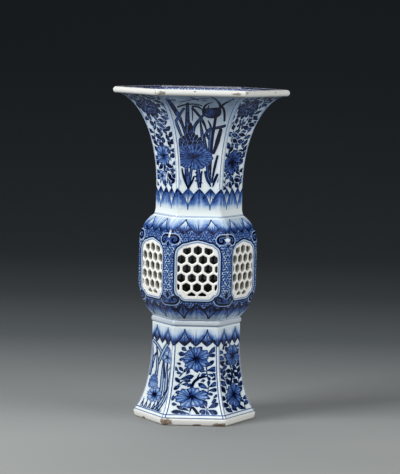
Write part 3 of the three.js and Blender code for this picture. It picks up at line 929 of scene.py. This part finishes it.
def add_node(tree, kind, inputs=None, **settings):
    """Adds a node with its settings, values and links. A node given as a value stands for its first output."""
    made = tree.nodes.new(f"ShaderNode{kind}")
    for name, value in settings.items():
        setattr(made, name, value)
    for socket, value in (inputs or {}).items():
        if isinstance(value, bpy.types.Node):
            value = value.outputs[0]
        if isinstance(value, bpy.types.NodeSocket):
            tree.links.new(value, made.inputs[socket])
        else:
            made.inputs[socket].default_value = value
    return made


def new_material(name):
    """An empty node material, the function that adds its nodes, and its object coordinates."""
    material = bpy.data.materials.new(name)
    material.use_nodes = True
    material.node_tree.nodes.clear()
    add = partial(add_node, material.node_tree)
    return material, add, add("TexCoord").outputs["Object"]


def set_ramp(ramp, stops):
    """Gives a ramp its stops: place and colour of each."""
    elements = ramp.color_ramp.elements
    while len(elements) > 1:
        elements.remove(elements[-1])
    elements[0].position, elements[0].color = stops[0][0], (*stops[0][1], 1)
    for place, colour in stops[1:]:
        elements.new(place).color = (*colour, 1)


def grey(value):
    """A grey as a colour."""
    return (value, value, value)


def finish_glaze(add, colour, place, roughness=0.06):
    """A clear glaze, glossy and a little uneven, over the given colour."""
    # The surface swells over 11 mm and is finely pitted over 1 mm.
    swell = add("TexNoise", {"Vector": place, "Scale": 90.0, "Detail": 2.0})
    pits = add("TexNoise", {"Vector": place, "Scale": 900.0, "Detail": 1.0})
    soft = add("Bump", {"Height": swell, "Strength": 0.1, "Distance": 0.0006})
    fine = add("Bump", {"Height": pits, "Strength": 0.05, "Distance": 0.0001, "Normal": soft})
    inputs = {"Base Color": colour, "Roughness": roughness, "IOR": 1.46, "Normal": fine}
    shader = add("BsdfPrincipled", inputs)
    add("OutputMaterial", {"Surface": shader})


def painted_porcelain(paint, lines, rise_lines, border=None, lining=None, shades=None, rubbed=()):
    """Brushed cobalt under a clear glaze: strokes and washes stored on the face, ruled lines drawn here.

    A line is its middle, width and density: lines are told by the distance to the ridges, rise_lines by the
    rise up the face. border holds distances from the window's edge with their densities, and lining is the
    colour inside, a painted shade. shades take the place of the five colours of the paint, and rubbed are
    patches where the glaze is worn, each a middle and a half size.
    """
    material, add, place = new_material("cobalt_painted_porcelain")
    face = add("Attribute", attribute_name="face_mm").outputs["Vector"]
    brush = add("Attribute", attribute_name="brush").outputs["Vector"]
    on_face = add("SeparateXYZ", {0: face}).outputs
    ink, tone, wash = add("SeparateXYZ", {0: brush}).outputs[:]

    # The brush drags: density and edges vary over 1 to 3 mm, and the ground powder over half a millimetre.
    drag = add("TexNoise", {"Vector": place, "Scale": 420.0, "Detail": 3.0})
    powder = add("TexNoise", {"Vector": place, "Scale": 1900.0, "Detail": 2.0})
    wobble = add("Math", {0: drag, 1: 0.5}, operation="SUBTRACT")
    speckle = add("Math", {0: powder, 1: 0.5, 2: 0.75}, operation="MULTIPLY_ADD")
    edge = add("Math", {0: wobble, 1: 0.4, 2: ink}, operation="MULTIPLY_ADD")
    inputs = {"Value": edge, "From Min": 0.13, "From Max": -0.13}
    inked = add("MapRange", inputs, interpolation_type="SMOOTHSTEP")
    piled = add("Math", {0: wobble, 1: 0.55, 2: 1.0}, operation="MULTIPLY_ADD")
    line = add("Math", {0: inked, 1: tone}, operation="MULTIPLY")
    line = add("Math", {0: line, 1: piled}, operation="MULTIPLY")
    uneven = add("Math", {0: wobble, 1: 1.3, 2: 1.0}, operation="MULTIPLY_ADD")
    laid = add("Math", {0: wash, 1: uneven}, operation="MULTIPLY")
    laid = add("Math", {0: laid, 1: speckle}, operation="MULTIPLY")
    # Cobalt bleeds into the glaze for about a millimetre round each stroke.
    bleed = add("MapRange", {"Value": ink, "From Min": 1.5, "From Max": 0.0, "To Max": 0.13})
    bleed = add("Math", {0: bleed, 1: tone}, operation="MULTIPLY")
    density = add("Math", {0: line, 1: laid}, operation="MAXIMUM")
    density = add("Math", {0: density, 1: bleed}, operation="MAXIMUM")

    if border is not None:
        span = border[-1][0]
        away = add("Attribute", attribute_name="edge_mm").outputs["Fac"]
        near = add("Math", {0: wobble, 1: 0.25, 2: away}, operation="MULTIPLY_ADD")
        near = add("Math", {0: near, 1: span}, operation="DIVIDE")
        ruled = add("ValToRGB", {"Fac": near})
        set_ramp(ruled, [(there / span, grey(shade)) for there, shade in border])
        beyond = add("Math", {0: near, 1: 1.0}, operation="GREATER_THAN")
        density = add("Mix", {SHARE: beyond, FLOAT_A: ruled, FLOAT_B: density}, data_type="FLOAT")
    for source, stops in ((on_face["Z"], lines), (on_face["Y"], rise_lines)):
        for middle, width, shade in stops:
            off = add("Math", {0: wobble, 1: 0.5, 2: source}, operation="MULTIPLY_ADD")
            off = add("Math", {0: off, 1: middle}, operation="SUBTRACT")
            off = add("Math", {0: off}, operation="ABSOLUTE")
            inputs = {"Value": off, "From Min": width / 2 + 0.15, "From Max": width / 2 - 0.15, "To Max": shade}
            ruled = add("MapRange", inputs, interpolation_type="SMOOTHSTEP")
            ruled = add("Math", {0: ruled, 1: piled}, operation="MULTIPLY")
            density = add("Math", {0: density, 1: ruled}, operation="MAXIMUM")

    colour = add("ValToRGB", {"Fac": density})
    stops = shades or (paint.glaze, paint.wash, paint.cobalt, paint.deep, paint.ink)
    reached = (0.0, 0.25, 0.5, 0.74, 0.93)  # density at which each colour is reached
    set_ramp(colour, list(zip(reached, stops)))
    if rubbed:
        # Grey-brown body shows through, ragged over 2 mm.
        bare = spots(add, place, wobble, rubbed, wobble)
        bare = add("MapRange", {"Value": bare, "From Min": 0.16, "From Max": 0.5, "To Max": 0.85})
        inputs = {SHARE: bare, COLOUR_A: colour, COLOUR_B: (*linear(0x7D7468), 1)}
        colour = add("Mix", inputs, data_type="RGBA").outputs[COLOUR_OUT]
    if lining is not None:
        # Painted shade: inside, where the brush never reached, the colour turns to the dark lining.
        depth = add("Attribute", attribute_name="depth_mm").outputs["Fac"]
        inside = add("MapRange", {"Value": depth, "From Min": 2.2, "From Max": 3.0})
        inputs = {SHARE: inside, COLOUR_A: colour, COLOUR_B: (*lining, 1)}
        colour = add("Mix", inputs, data_type="RGBA").outputs[COLOUR_OUT]
    finish_glaze(add, colour, place)
    return material


def white_porcelain(pooled, thin, walls=None):
    """The glazed white body: a faint blue cast that pools and thins over a few centimetres, fine specks.

    walls, where given, are the colours of the sides and the back of a cut-out wall, by depth: thin glaze at the cut
    edge, then painted shade darkening inwards.
    """
    material, add, place = new_material("white_glazed_porcelain")
    # The cast changes over 18 mm.
    cloud = add("TexNoise", {"Vector": place, "Scale": 55.0, "Detail": 3.0})
    cast = add("ValToRGB", {"Fac": cloud})
    set_ramp(cast, [(0.3, linear(pooled)), (0.7, linear(thin))])
    # Iron specks about half a millimetre across, 7 mm apart.
    speck = add("TexVoronoi", {"Vector": place, "Scale": 150.0})
    spot = add("MapRange", {"Value": speck, "From Min": 0.06, "From Max": 0.03, "To Max": 0.6})
    inputs = {SHARE: spot, COLOUR_A: cast, COLOUR_B: (*linear(0x7C6C58), 1)}
    colour = add("Mix", inputs, data_type="RGBA").outputs[COLOUR_OUT]
    if walls is not None:
        # The glaze runs thin on the cut sides, then painted shade darkens the sides deeper in and the back of the wall
        # to near black.
        depth = add("Attribute", attribute_name="depth_mm").outputs["Fac"]
        deepest = 5.0
        depth = add("Math", {0: depth, 1: deepest}, operation="DIVIDE")
        thin_glaze_and_shade = add("ValToRGB", {"Fac": depth})
        set_ramp(thin_glaze_and_shade, [(there / deepest, linear(shown)) for there, shown in walls])
        inputs = {SHARE: 1.0, COLOUR_A: colour, COLOUR_B: thin_glaze_and_shade}
        colour = add("Mix", inputs, data_type="RGBA", blend_type="MULTIPLY").outputs[COLOUR_OUT]
    finish_glaze(add, colour, place, 0.12)
    return material


def spots(add, place, ragged, patches, bare):
    """Joins ragged patches, given as middles and half sizes in millimetres, to a mask."""
    for middle, size in patches:
        off = add("VectorMath", {0: place, 1: [c * MM for c in middle]}, operation="SUBTRACT")
        off = add("VectorMath", {0: off, 1: [s * MM for s in size]}, operation="DIVIDE")
        span = add("VectorMath", {0: off}, operation="LENGTH").outputs["Value"]
        patch = add("Math", {0: 1.0, 1: span}, operation="SUBTRACT")
        patch = add("Math", {0: ragged, 1: 1.6, 2: patch}, operation="MULTIPLY_ADD")
        bare = add("Math", {0: bare, 1: patch}, operation="MAXIMUM")
    return bare


def foot_porcelain(chips):
    """The white foot: glaze outside, worn and chipped to rough brown body along the standing edge."""
    material, add, place = new_material("white_porcelain_foot")
    up = add("SeparateXYZ", {0: place}).outputs["Z"]
    # Bare body, gritty over 1 to 3 mm.
    grit = add("TexNoise", {"Vector": place, "Scale": 330.0, "Detail": 5.0, "Roughness": 0.7})
    ragged = add("Math", {0: grit, 1: 0.5}, operation="SUBTRACT")
    worn = add("MapRange", {"Value": up, "From Max": 0.0022, "To Min": 0.08, "To Max": -0.2})
    bare = add("Math", {0: ragged, 1: worn}, operation="ADD")
    bare = spots(add, place, ragged, chips, bare)
    bare = add("MapRange", {"Value": bare, "From Min": 0.1, "From Max": 0.2})
    body = add("ValToRGB", {"Fac": grit})
    set_ramp(body, [(0.35, linear(0x51463D)), (0.6, linear(0x9C8B7A))])
    inputs = {SHARE: bare, COLOUR_A: (*linear(0xE9E9E4), 1), COLOUR_B: body}
    colour = add("Mix", inputs, data_type="RGBA").outputs[COLOUR_OUT]
    rough = add("MapRange", {"Value": bare, "To Min": 0.12, "To Max": 0.75})
    finish_glaze(add, colour, place, rough)
    return material


def backdrop_paper():
    """Matt studio paper with a painted pool of light: pale round the vase and dark far from it.

    It stays pale for the camera and for reflections, and sends little light back up at the vase.
    """
    material, add, place = new_material("matt_backdrop_paper")
    # Metres from the painted pool of light, which reaches further in front of the vase than behind it.
    off = add("VectorMath", {0: place, 1: (0.0, -0.35, 0.0)}, operation="SUBTRACT")
    off = add("VectorMath", {0: off}, operation="ABSOLUTE")
    off = add("VectorMath", {0: off, 1: (0.4, 0.25, 9.0)}, operation="SUBTRACT")
    off = add("VectorMath", {0: off, 1: (0.0, 0.0, 0.0)}, operation="MAXIMUM")
    away = add("VectorMath", {0: off}, operation="LENGTH").outputs["Value"]
    shade = add("MapRange", {"Value": away, "From Max": 1.8})
    ramp = add("ValToRGB", {"Fac": shade})
    stops = [(0.0, 0x919493), (0.13, 0x7A7D7D), (0.3, 0x4E5356), (0.5, 0x33383B), (0.72, 0x262B2E), (1.0, 0x14191C)]
    set_ramp(ramp, [(there, linear(shown)) for there, shown in stops])
    # A paper tooth of 1.4 mm.
    fibre = add("TexNoise", {"Vector": place, "Scale": 700.0, "Detail": 2.0})
    tooth = add("Bump", {"Height": fibre, "Strength": 0.1, "Distance": 0.0002})
    seen = add("LightPath").outputs
    kept = add("Math", {0: seen["Is Camera Ray"], 1: seen["Is Glossy Ray"]}, operation="MAXIMUM")
    kept = add("Math", {0: kept, 1: seen["Is Transmission Ray"]}, operation="MAXIMUM")
    inputs = {SHARE: kept, COLOUR_A: (*linear(0x5C5E5E), 1), COLOUR_B: ramp}
    colour = add("Mix", inputs, data_type="RGBA").outputs[COLOUR_OUT]
    inputs = {"Base Color": colour, "Roughness": 0.95, "Specular IOR Level": 0.15, "Normal": tooth}
    shader = add("BsdfPrincipled", inputs)
    add("OutputMaterial", {"Surface": shader})
    return material


# Pieces


def hexagon_ring(profile, roundness, columns=1):
    """A closed profile swung round six sides, its outer corners softened and its sides cut in columns."""
    bm = bmesh.new()
    geom = closed_loop(bm, profile, 0.0)
    bmesh.ops.spin(bm, geom=geom, cent=(0, 0, 0), axis=(0, 0, 1), angle=2 * math.pi, steps=SIDES, use_merge=True)
    corners = []
    for edge in bm.edges:
        a, b = (math.atan2(v.co.y, v.co.x) for v in edge.verts)
        if abs(math.remainder(a - b, 2 * math.pi)) < 1e-3:
            corners.append(edge)
    bmesh.ops.bevel(
        bm,
        geom=corners,
        offset=roundness * math.tan(HALF_SIDE),
        offset_type="OFFSET",
        segments=8,
        profile=0.5,
        affect="EDGES",
        material=-1,
    )
    if columns > 1:
        long = [e for e in bm.edges if e.calc_length() > 10]
        bmesh.ops.subdivide_edges(bm, edges=long, cuts=columns - 1, use_grid_fill=True)
    return to_mesh("ring", bm)


def round_corner(centre, radius, start, end, count):
    """Points of an arc, its ends in degrees."""
    angles = np.radians(np.linspace(start, end, count))
    return [(centre[0] + radius * math.cos(a), centre[1] + radius * math.sin(a)) for a in angles]


def turned_copy(mesh, side):
    """A copy of the front face's mesh, turned to a side."""
    copy = mesh.copy()
    copy.transform(Matrix.Rotation(2 * HALF_SIDE * side, 4, "Z"))
    return copy


class VASE_OT_foot_ring(Operator):
    """Models the foot ring that the vase stands on"""

    bl_idname = "vase.foot_ring"
    bl_label = "Foot ring"

    def execute(self, context):
        width, radius, top = 7.2, FOOT_RADIUS, FOOT_SEAM
        # Radius and height, from the inner edge round the standing edge and up
        profile = [
            (radius - width, 0.6),
            (radius - width + 0.6, 0.02),
            *round_corner((radius - 2.4, 1.82), 1.8, -90, -20, 6),
            *round_corner((radius - 1.2, top - 1.6), 1.2, 0, 60, 5),
            (radius - 1.4, top),
            (radius - width, top),
        ]
        left, front = -radius / 2, -radius * FLAT
        # Middle and half size of each chip
        chips = [
            ((left + 2.0, front + 1.2, 2.7), (7.0, 4.4, 3.1)),
            ((1.9, front, 0.4), (4.5, 2.4, 1.5)),
            ((-left - 3.5, front, 0.7), (7.5, 3.4, 2.4)),
            ((-radius * 0.82, -radius * 0.3, 1.0), (2.6, 3.0, 1.3)),
        ]
        mesh = hexagon_ring(profile, 2.6)
        show("foot_ring_piece", mesh, foot_porcelain(chips), "foot_ring", "foot_ring")
        return {"FINISHED"}


class VASE_OT_floor(Operator):
    """Glazes the floor plate inside the foot"""

    bl_idname = "vase.floor"
    bl_label = "Floor"

    def execute(self, context):
        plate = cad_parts["floor_plate"]
        plate.data.materials.clear()
        # A dark grey-buff: painted shade deep inside the vase
        plate.data.materials.append(white_porcelain(0x8A877C, 0x9C988B))
        return {"FINISHED"}


def show_faces(front, face, brush, sides, material, tier, **painting):
    """Stores one painted face and shows it on the sides that share it."""
    painted = front.copy()
    store_painting(painted, face, brush, **painting)
    for side in sides:
        name = f"{tier}_slab_{side + 1}"
        show(f"{name}_painted", turned_copy(painted, side), material, "painted_porcelain", name)


class VASE_OT_foot(Operator):
    """Models and paints the six slabs of the flared foot"""

    bl_idname = "vase.foot"
    bl_label = "Foot slabs"

    def execute(self, context):
        sizes, paint = current(context)
        outline = Outline(FOOT_SEAM, BAND_LOW, foot_radius_at, sizes)
        front = slab(outline, sizes.foot_wall, sizes.ridge_round, sizes)
        face = Face(front, outline, sizes.ridge_round)
        top = outline.length
        side_lines = [(1.5, 0.8, 0.74)]
        rise_lines = [(2.9, 0.75, 0.74), (0.2, 0.6, 0.66), (top - 0.2, 0.4, 0.5)]
        material = painted_porcelain(paint, side_lines, rise_lines)
        for number, design in enumerate(FOOT_DESIGNS):
            brush = Brush(face.u, face.rise)
            design(brush, half_width_at(outline))
            # White margins along the ridges and the foot
            brush.clear(np.minimum(face.ridge - 2.4, brush.s - 3.6))
            paint_lappets(
                brush, face.half, root=top - 1.6, tip=top - 15.4, bend=2.0,
                front_shade=(0.05, 0.1, 0.14, 0.32, 0.8, 1.0), back_shade=(0.74, 0.7, 0.56, 0.5, 0.8, 1.0),
                blunt=0.9, heavy=0.4, seed=number, pool=0.65,
            )
            sides = (number, number + SIDES // 2)
            show_faces(front, face, brush, sides, material, "foot", lined=(0.0, top - 14.4))
        return {"FINISHED"}


class VASE_OT_waist_band(Operator):
    """Models the raised band round the waist"""

    bl_idname = "vase.waist_band"
    bl_label = "Waist band"

    def execute(self, context):
        radius, low, high = BAND_RADIUS, BAND_LOW, BAND_HIGH
        # Radius and height, from the inner edge round the outside and up
        profile = [
            (radius - 6, low),
            (radius - 1.2, low),
            *round_corner((radius - 1.3, low + 1.5), 1.3, -70, 0, 5),
            *round_corner((radius - 1.3, high - 1.5), 1.3, 0, 70, 5),
            (radius - 1.2, high),
            (radius - 6, high),
        ]
        mesh = hexagon_ring(profile, 3.0)
        # A grey-blue white, darker than the glaze elsewhere: painted shade under the overhanging drum
        show("waist_band_piece", mesh, white_porcelain(0xB6C0CB, 0xC6CFD5), "white_porcelain", "waist_band")
        return {"FINISHED"}


class VASE_OT_drum(Operator):
    """Models and paints the six slabs of the pierced drum"""

    bl_idname = "vase.drum"
    bl_label = "Drum slabs"

    def execute(self, context):
        sizes, paint = current(context)
        outline = Outline(BAND_HIGH, SHOULDER, drum_radius_at, sizes)
        whole = slab(outline, sizes.wall, sizes.drum_round, sizes)
        cutter = prism("window", [window_outline(sizes)], sizes.window_middle)
        front = finished(whole, cut("DIFFERENCE", cutter))
        face = Face(front, outline, sizes.drum_round)
        edge = distance_to(window_outline(sizes), face.u, face.z - sizes.window_middle)
        brush = Brush(face.u, face.rise)
        top = outline.length
        paint_curls(brush, 8.0, top - 8.0, sizes.drum_radius / 2, 0.58)
        # The ground is darker above and below the windows.
        for height in (17.0, top - 16.5):
            shaded = np.exp(-(((brush.s - height) / 5.0) ** 2))
            brush.wash += 0.3 * shaded * (1 - brush.wash)
        paint_lappets(
            brush, face.half, root=1.6, tip=15.8, bend=1.5,
            front_shade=(0.22, 0.26, 0.36, 0.66, 1.0, 1.0), back_shade=(0.6, 0.5, 0.5, 0.75, 1.0, 1.0),
            blunt=0.85, heavy=0.6, seed=8,
        )
        paint_lappets(
            brush, face.half, root=top - 2.2, tip=top - 15.6, bend=1.5,
            front_shade=(0.14, 0.18, 0.24, 0.36, 0.6, 1.0), back_shade=(0.3, 0.04, 0.06, 0.26, 0.7, 1.0),
            blunt=0.85, heavy=0.42, dark=0.86, seed=9, pool=0.35,
        )
        # A thin blue line round the window, then a pale band and a thick dark line
        border = ((0.0, 0.04), (0.15, 0.45), (0.5, 0.45), (0.7, 0.14), (1.4, 0.16), (1.6, 0.92), (2.6, 0.9), (2.8, 0.6))
        # Near-black painted shade for the inner faces of the drum
        lining = linear(0x211F1B)
        rise_lines = [(0.3, 0.5, 0.6), (top - 0.5, 0.5, 0.5)]
        material = painted_porcelain(paint, [], rise_lines, border, lining)
        half_at = half_width_at(outline)
        # Every other face is painted again, so that the upper heads on every other ridge get a pale heart, partly the
        # white ground of the pattern and partly a painted highlight.
        for first, pale_side in ((0, 1), (1, -1)):
            for sign in (-1, 1):
                for height, flip in ((top - 20.2, 1), (19.8, -1)):
                    heart = 0.04 if sign == pale_side and flip == 1 else 0.75
                    paint_cloud_head(brush, sign * float(half_at(height)), height, flip, heart)
            show_faces(front, face, brush, range(first, SIDES, 2), material, "drum", edge=edge)
        return {"FINISHED"}


def cell_outlines(sizes):
    """The honeycomb's cells about the window's middle, on points, in staggered rows."""
    corner = sizes.cell_width / 2 / FLAT
    row_step = sizes.cell_pitch * math.sin(math.pi / 3)
    lift = 1.5  # height of the rows' start above the window's middle
    cells = []
    for row in range(-4, 4):
        shift = sizes.cell_pitch / 2 if row % 2 else 0
        for column in range(-3, 4):
            x, z = column * sizes.cell_pitch + shift, lift + row * row_step
            turns = [math.pi / 2 + k * math.pi / 3 for k in range(6)]
            cells.append([(x + corner * math.cos(t), z + corner * math.sin(t)) for t in turns])
    return cells


class VASE_OT_panels(Operator):
    """Models the six honeycomb panels in the windows"""

    bl_idname = "vase.panels"
    bl_label = "Honeycomb panels"

    def execute(self, context):
        sizes, _ = current(context)
        outline = Outline(BAND_HIGH, SHOULDER, drum_radius_at, sizes)
        coarse = slab(outline, sizes.wall, sizes.drum_round, sizes)
        middle = sizes.window_middle
        bare_sides, bare_ends = 0.6, 2.4  # margins of the window that have no cells
        tuck, setback = 0.25, 0.35  # how far the panel reaches into the wall, and stands behind its face
        inner = prism("inner", [window_outline(sizes, bare_sides, bare_ends)], middle)
        cells = prism("cells", cell_outlines(sizes), middle)
        holes = finished(cells, cut("INTERSECT", inner))
        outer = prism("outer", [window_outline(sizes, -tuck, -tuck)], middle)
        plate = finished(coarse, cut("INTERSECT", outer))
        # Melted together again, the bars come out softly rounded, as under thick glaze.
        voxel = 0.42
        rounding = ("REMESH", {"mode": "VOXEL", "voxel_size": voxel}), ("SMOOTH", {"factor": 0.5, "iterations": 4})
        panel = finished(plate, cut("DIFFERENCE", holes), *rounding)
        panel.transform(Matrix.Translation((0, setback, 0)))
        set_values(panel, "depth_mm", Face(panel, outline, sizes.drum_round).depth)
        # By depth: thin glaze at the cut edges, then painted shade down the cells and on the back of the panel
        walls = ((0.9, 0xFFFFFF), (1.5, 0xE4E3DA), (3.0, 0x8E8C7F), (4.2, 0x46433C))
        material = white_porcelain(0xF4F5F2, 0xFBFAF5, walls)
        for side in range(SIDES):
            name = f"pierced_panel_{side + 1}"
            show(f"{name}_glazed", turned_copy(panel, side), material, "pierced_porcelain", name)
        return {"FINISHED"}


class VASE_OT_neck(Operator):
    """Models and paints the six slabs of the trumpet neck"""

    bl_idname = "vase.neck"
    bl_label = "Neck slabs"

    def execute(self, context):
        sizes, paint = current(context)
        outline = Outline(SHOULDER, LIP_LOW - JOINT, neck_radius_at, sizes)
        front = slab(outline, sizes.wall, sizes.ridge_round, sizes, inner_step=4.0, flat_top=False, fine_top=16.0)
        face = Face(front, outline, sizes.ridge_round)
        material = painted_porcelain(paint, [(1.4, 0.6, 0.56)], [(0.4, 0.3, 0.6)])
        lining = Brush(face.u, LIP_LOW - face.z)
        paint_curls(lining, -4.0, 12.0, LIP_RADIUS / 2, 0.6, (2.6, 2.4))
        for number, design in enumerate(NECK_DESIGNS):
            brush = Brush(face.u, face.rise)
            design(brush, half_width_at(outline))
            # White margins along the ridges
            brush.clear(face.ridge - 2.6)
            paint_lappets(
                brush, face.half, root=5.0, tip=21.8, bend=2.2,
                front_shade=(0.0, 0.14, 0.44, 0.56, 0.68, 0.96), back_shade=(0.3, 0.3, 0.2, 0.1, 0.42, 1.0),
                heavy=0.3, dark=0.84, seed=number + 20, pool=0.2,
            )
            # Painted shade under the lip: a blue wash over the upper neck that deepens towards the mouth.
            brush.wash = np.maximum(brush.wash, 0.24 * np.clip((brush.s - 50) / 42, 0, 1))
            sides = (number, number + SIDES // 2)
            show_faces(front, face, brush, sides, material, "neck", lining=lining, lined=(21.0, math.inf))
        return {"FINISHED"}


class VASE_OT_lip(Operator):
    """Models the thick rounded lip of the mouth and paints its inner slope"""

    bl_idname = "vase.lip"
    bl_label = "Lip"

    def execute(self, context):
        _, paint = current(context)
        radius, low, high = LIP_RADIUS, LIP_LOW, LIP_TOP - 0.07  # softened corners rise by that much
        slope = [(radius - 3.4, high - 0.04), (radius - 5.5, high - 0.45), (radius - 7.6, high - 1.25)]
        rows = np.linspace(0, 2, 17)
        slope = [tuple(np.interp(row, range(3), ends) for ends in zip(*slope)) for row in rows]
        profile = [
            (radius - 6.2, low - 0.1),
            *round_corner((radius - 2.3, low + 2.3), 2.3, -90, 0, 7),
            *round_corner((radius - 2.5, high - 2.5), 2.5, 0, 90, 7),
            *slope,
            (radius - 8.0, high - 1.9),
        ]
        mesh = hexagon_ring(profile, 2.5, 120)
        co = coordinates(mesh)
        side = np.round((np.arctan2(co[:, 1], co[:, 0]) + math.pi / 2) / (2 * HALF_SIDE)) * 2 * HALF_SIDE
        u = co[:, 0] * np.cos(side) + co[:, 1] * np.sin(side)
        inward = radius * FLAT - (co[:, 0] * np.sin(side) - co[:, 1] * np.cos(side))
        brush = Brush(u, np.where(co[:, 2] > high - 2.2, inward, 0.0))
        paint_curls(brush, 3.2, 9.0, radius / 2, 0.82, (2.6, 2.0), pale=0.24)
        away = np.full(u.shape, FAR)
        set_paint(mesh, u, away, away, brush.ink, brush.tone, brush.wash)
        corner, front = radius / 2, -radius * FLAT
        # Middle and half size of each worn patch
        rubbed = [
            ((-corner, front, high - 2.0), (1.0, 1.6, 3.0)),
            ((-corner + 4.5, front, high - 3.0), (4.0, 1.8, 2.0)),
            ((corner, front, high - 1.4), (2.2, 2.2, 2.4)),
            ((corner - 8.0, front, high - 2.4), (4.6, 1.6, 1.3)),
            ((-5.0, front, high - 1.2), (1.4, 1.4, 0.8)),
            ((radius - 12.0, front * 0.36, high - 1.6), (1.6, 2.4, 1.0)),
        ]
        # The cobalt is greyer and darker than elsewhere: painted shade on the inner slope of the mouth
        shades = [linear(shown) for shown in (0xDEDFDB, 0x7F87A6, 0x495178, 0x272E52, 0x0E1228)]
        material = painted_porcelain(paint, [], [], shades=shades, rubbed=rubbed)
        show("mouth_lip_piece", mesh, material, "white_porcelain", "mouth_lip")
        return {"FINISHED"}


class VASE_OT_stage(Operator):
    """Sets the floor, the lights and the camera"""

    bl_idname = "vase.stage"
    bl_label = "Stage"

    def execute(self, context):
        make_backdrop()
        make_lights(context.scene)
        make_camera(context.scene)
        return {"FINISHED"}


def make_backdrop():
    """A paper sweep: flat under the vase, then bent up behind it."""
    front, back, half_width, height, bend = -3.0, 1.2, 3.5, 3.0, 0.6  # metres
    path = [(front, 0.0), (back, 0.0)]
    path += [(back + bend * math.sin(a), bend * (1 - math.cos(a))) for a in np.linspace(0, math.pi / 2, 17)[1:]]
    path.append((back + bend, height))
    bm = bmesh.new()
    line = [bm.verts.new((-half_width, y, z)) for y, z in path]
    edges = [bm.edges.new(pair) for pair in zip(line, line[1:])]
    spread = bmesh.ops.extrude_edge_only(bm, edges=edges)["geom"]
    far = [v for v in spread if isinstance(v, bmesh.types.BMVert)]
    bmesh.ops.translate(bm, verts=far, vec=(2 * half_width, 0, 0))
    mesh = to_mesh("backdrop", bm)
    mesh.shade_smooth()
    mesh.materials.append(backdrop_paper())
    sweep = bpy.data.objects.new("backdrop", mesh)
    bpy.context.collection.objects.link(sweep)


def make_light(name, place, target, size, power):
    """A softbox turned to its target, its size in metres and its power in watts."""
    light = bpy.data.lights.new(name, "AREA")
    light.shape = "RECTANGLE"
    light.size, light.size_y = size
    light.energy = power
    lamp = bpy.data.objects.new(name, light)
    lamp.location = place
    lamp.rotation_euler = (Vector(target) - Vector(place)).to_track_quat("-Z", "Y").to_euler()
    bpy.context.collection.objects.link(lamp)


def make_lights(scene):
    """A key high on the left, weaker lights in front, on the right and behind, and a dim surround."""
    aim = (0, 0, 0.14)
    make_light("key_softbox", (-1.18, -0.74, 0.98), aim, (0.7, 0.66), 28.5)
    make_light("front_softbox", (-0.1, -1.5, 1.35), aim, (2.4, 1.2), 5)
    make_light("fill_softbox", (2.1, -1.12, 0.9), aim, (1.8, 1.5), 41)
    make_light("back_softbox", (-0.3, 1.1, 1.5), aim, (2.0, 1.0), 12)
    world = bpy.data.worlds.new("studio")
    world.use_nodes = True
    world.node_tree.nodes.clear()
    add = partial(add_node, world.node_tree)
    seen = add("LightPath").outputs
    seen = add("Math", {0: seen["Is Camera Ray"], 1: seen["Is Glossy Ray"]}, operation="MAXIMUM")
    # A faint cool light all round, seen and mirrored as near black
    inputs = {SHARE: seen, COLOUR_A: (0.11, 0.115, 0.12, 1), COLOUR_B: (*linear(0x0A0B0C), 1)}
    colour = add("Mix", inputs, data_type="RGBA").outputs[COLOUR_OUT]
    add("OutputWorld", {"Surface": add("Background", {"Color": colour})})
    scene.world = world


def make_camera(scene):
    """The photograph's view: 1.68 m in front, a little above the mouth, tilted down and leaning."""
    picture_height, focal_pixels, sensor = 474, 2148.7, 36.0
    camera = bpy.data.cameras.new("camera")
    camera.lens = focal_pixels / picture_height * sensor
    camera.sensor_width = sensor
    camera.clip_end = 20
    holder = bpy.data.objects.new("camera", camera)
    holder.location = (0.00139, -1.6816, 0.3022)
    holder.rotation_mode = "ZYX"
    holder.rotation_euler = (math.radians(90 - 5.406), 0, math.radians(1.293))
    bpy.context.collection.objects.link(holder)
    scene.camera = holder
    scene.view_settings.view_transform = "Standard"


STEPS = (
    VASE_OT_foot_ring,
    VASE_OT_floor,
    VASE_OT_foot,
    VASE_OT_waist_band,
    VASE_OT_drum,
    VASE_OT_panels,
    VASE_OT_neck,
    VASE_OT_lip,
    VASE_OT_stage,
)


class VASE_PT_steps(Panel):
    """Sizes, colours and steps of the vase"""

    bl_idname = "VASE_PT_steps"
    bl_label = "Vase"
    bl_space_type = "VIEW_3D"
    bl_region_type = "UI"
    bl_category = "Vase"

    def draw(self, context):
        for group in (context.scene.vase_sizes, context.scene.vase_paint):
            box = self.layout.box()
            for name in group.__annotations__:
                box.prop(group, name)
        for step in STEPS:
            self.layout.operator(step.bl_idname)


CLASSES = (VaseSizes, VasePaint, *STEPS, VASE_PT_steps)


def register():
    for cls in CLASSES:
        bpy.utils.register_class(cls)
    bpy.types.Scene.vase_sizes = PointerProperty(type=VaseSizes)
    bpy.types.Scene.vase_paint = PointerProperty(type=VasePaint)


def unregister():
    del bpy.types.Scene.vase_paint
    del bpy.types.Scene.vase_sizes
    for cls in reversed(CLASSES):
        bpy.utils.unregister_class(cls)


def main():
    """Builds and paints the vase step by step."""
    register()
    for step in STEPS:
        group, name = step.bl_idname.split(".")
        getattr(getattr(bpy.ops, group), name)()


if __name__ == "__main__":
    main()
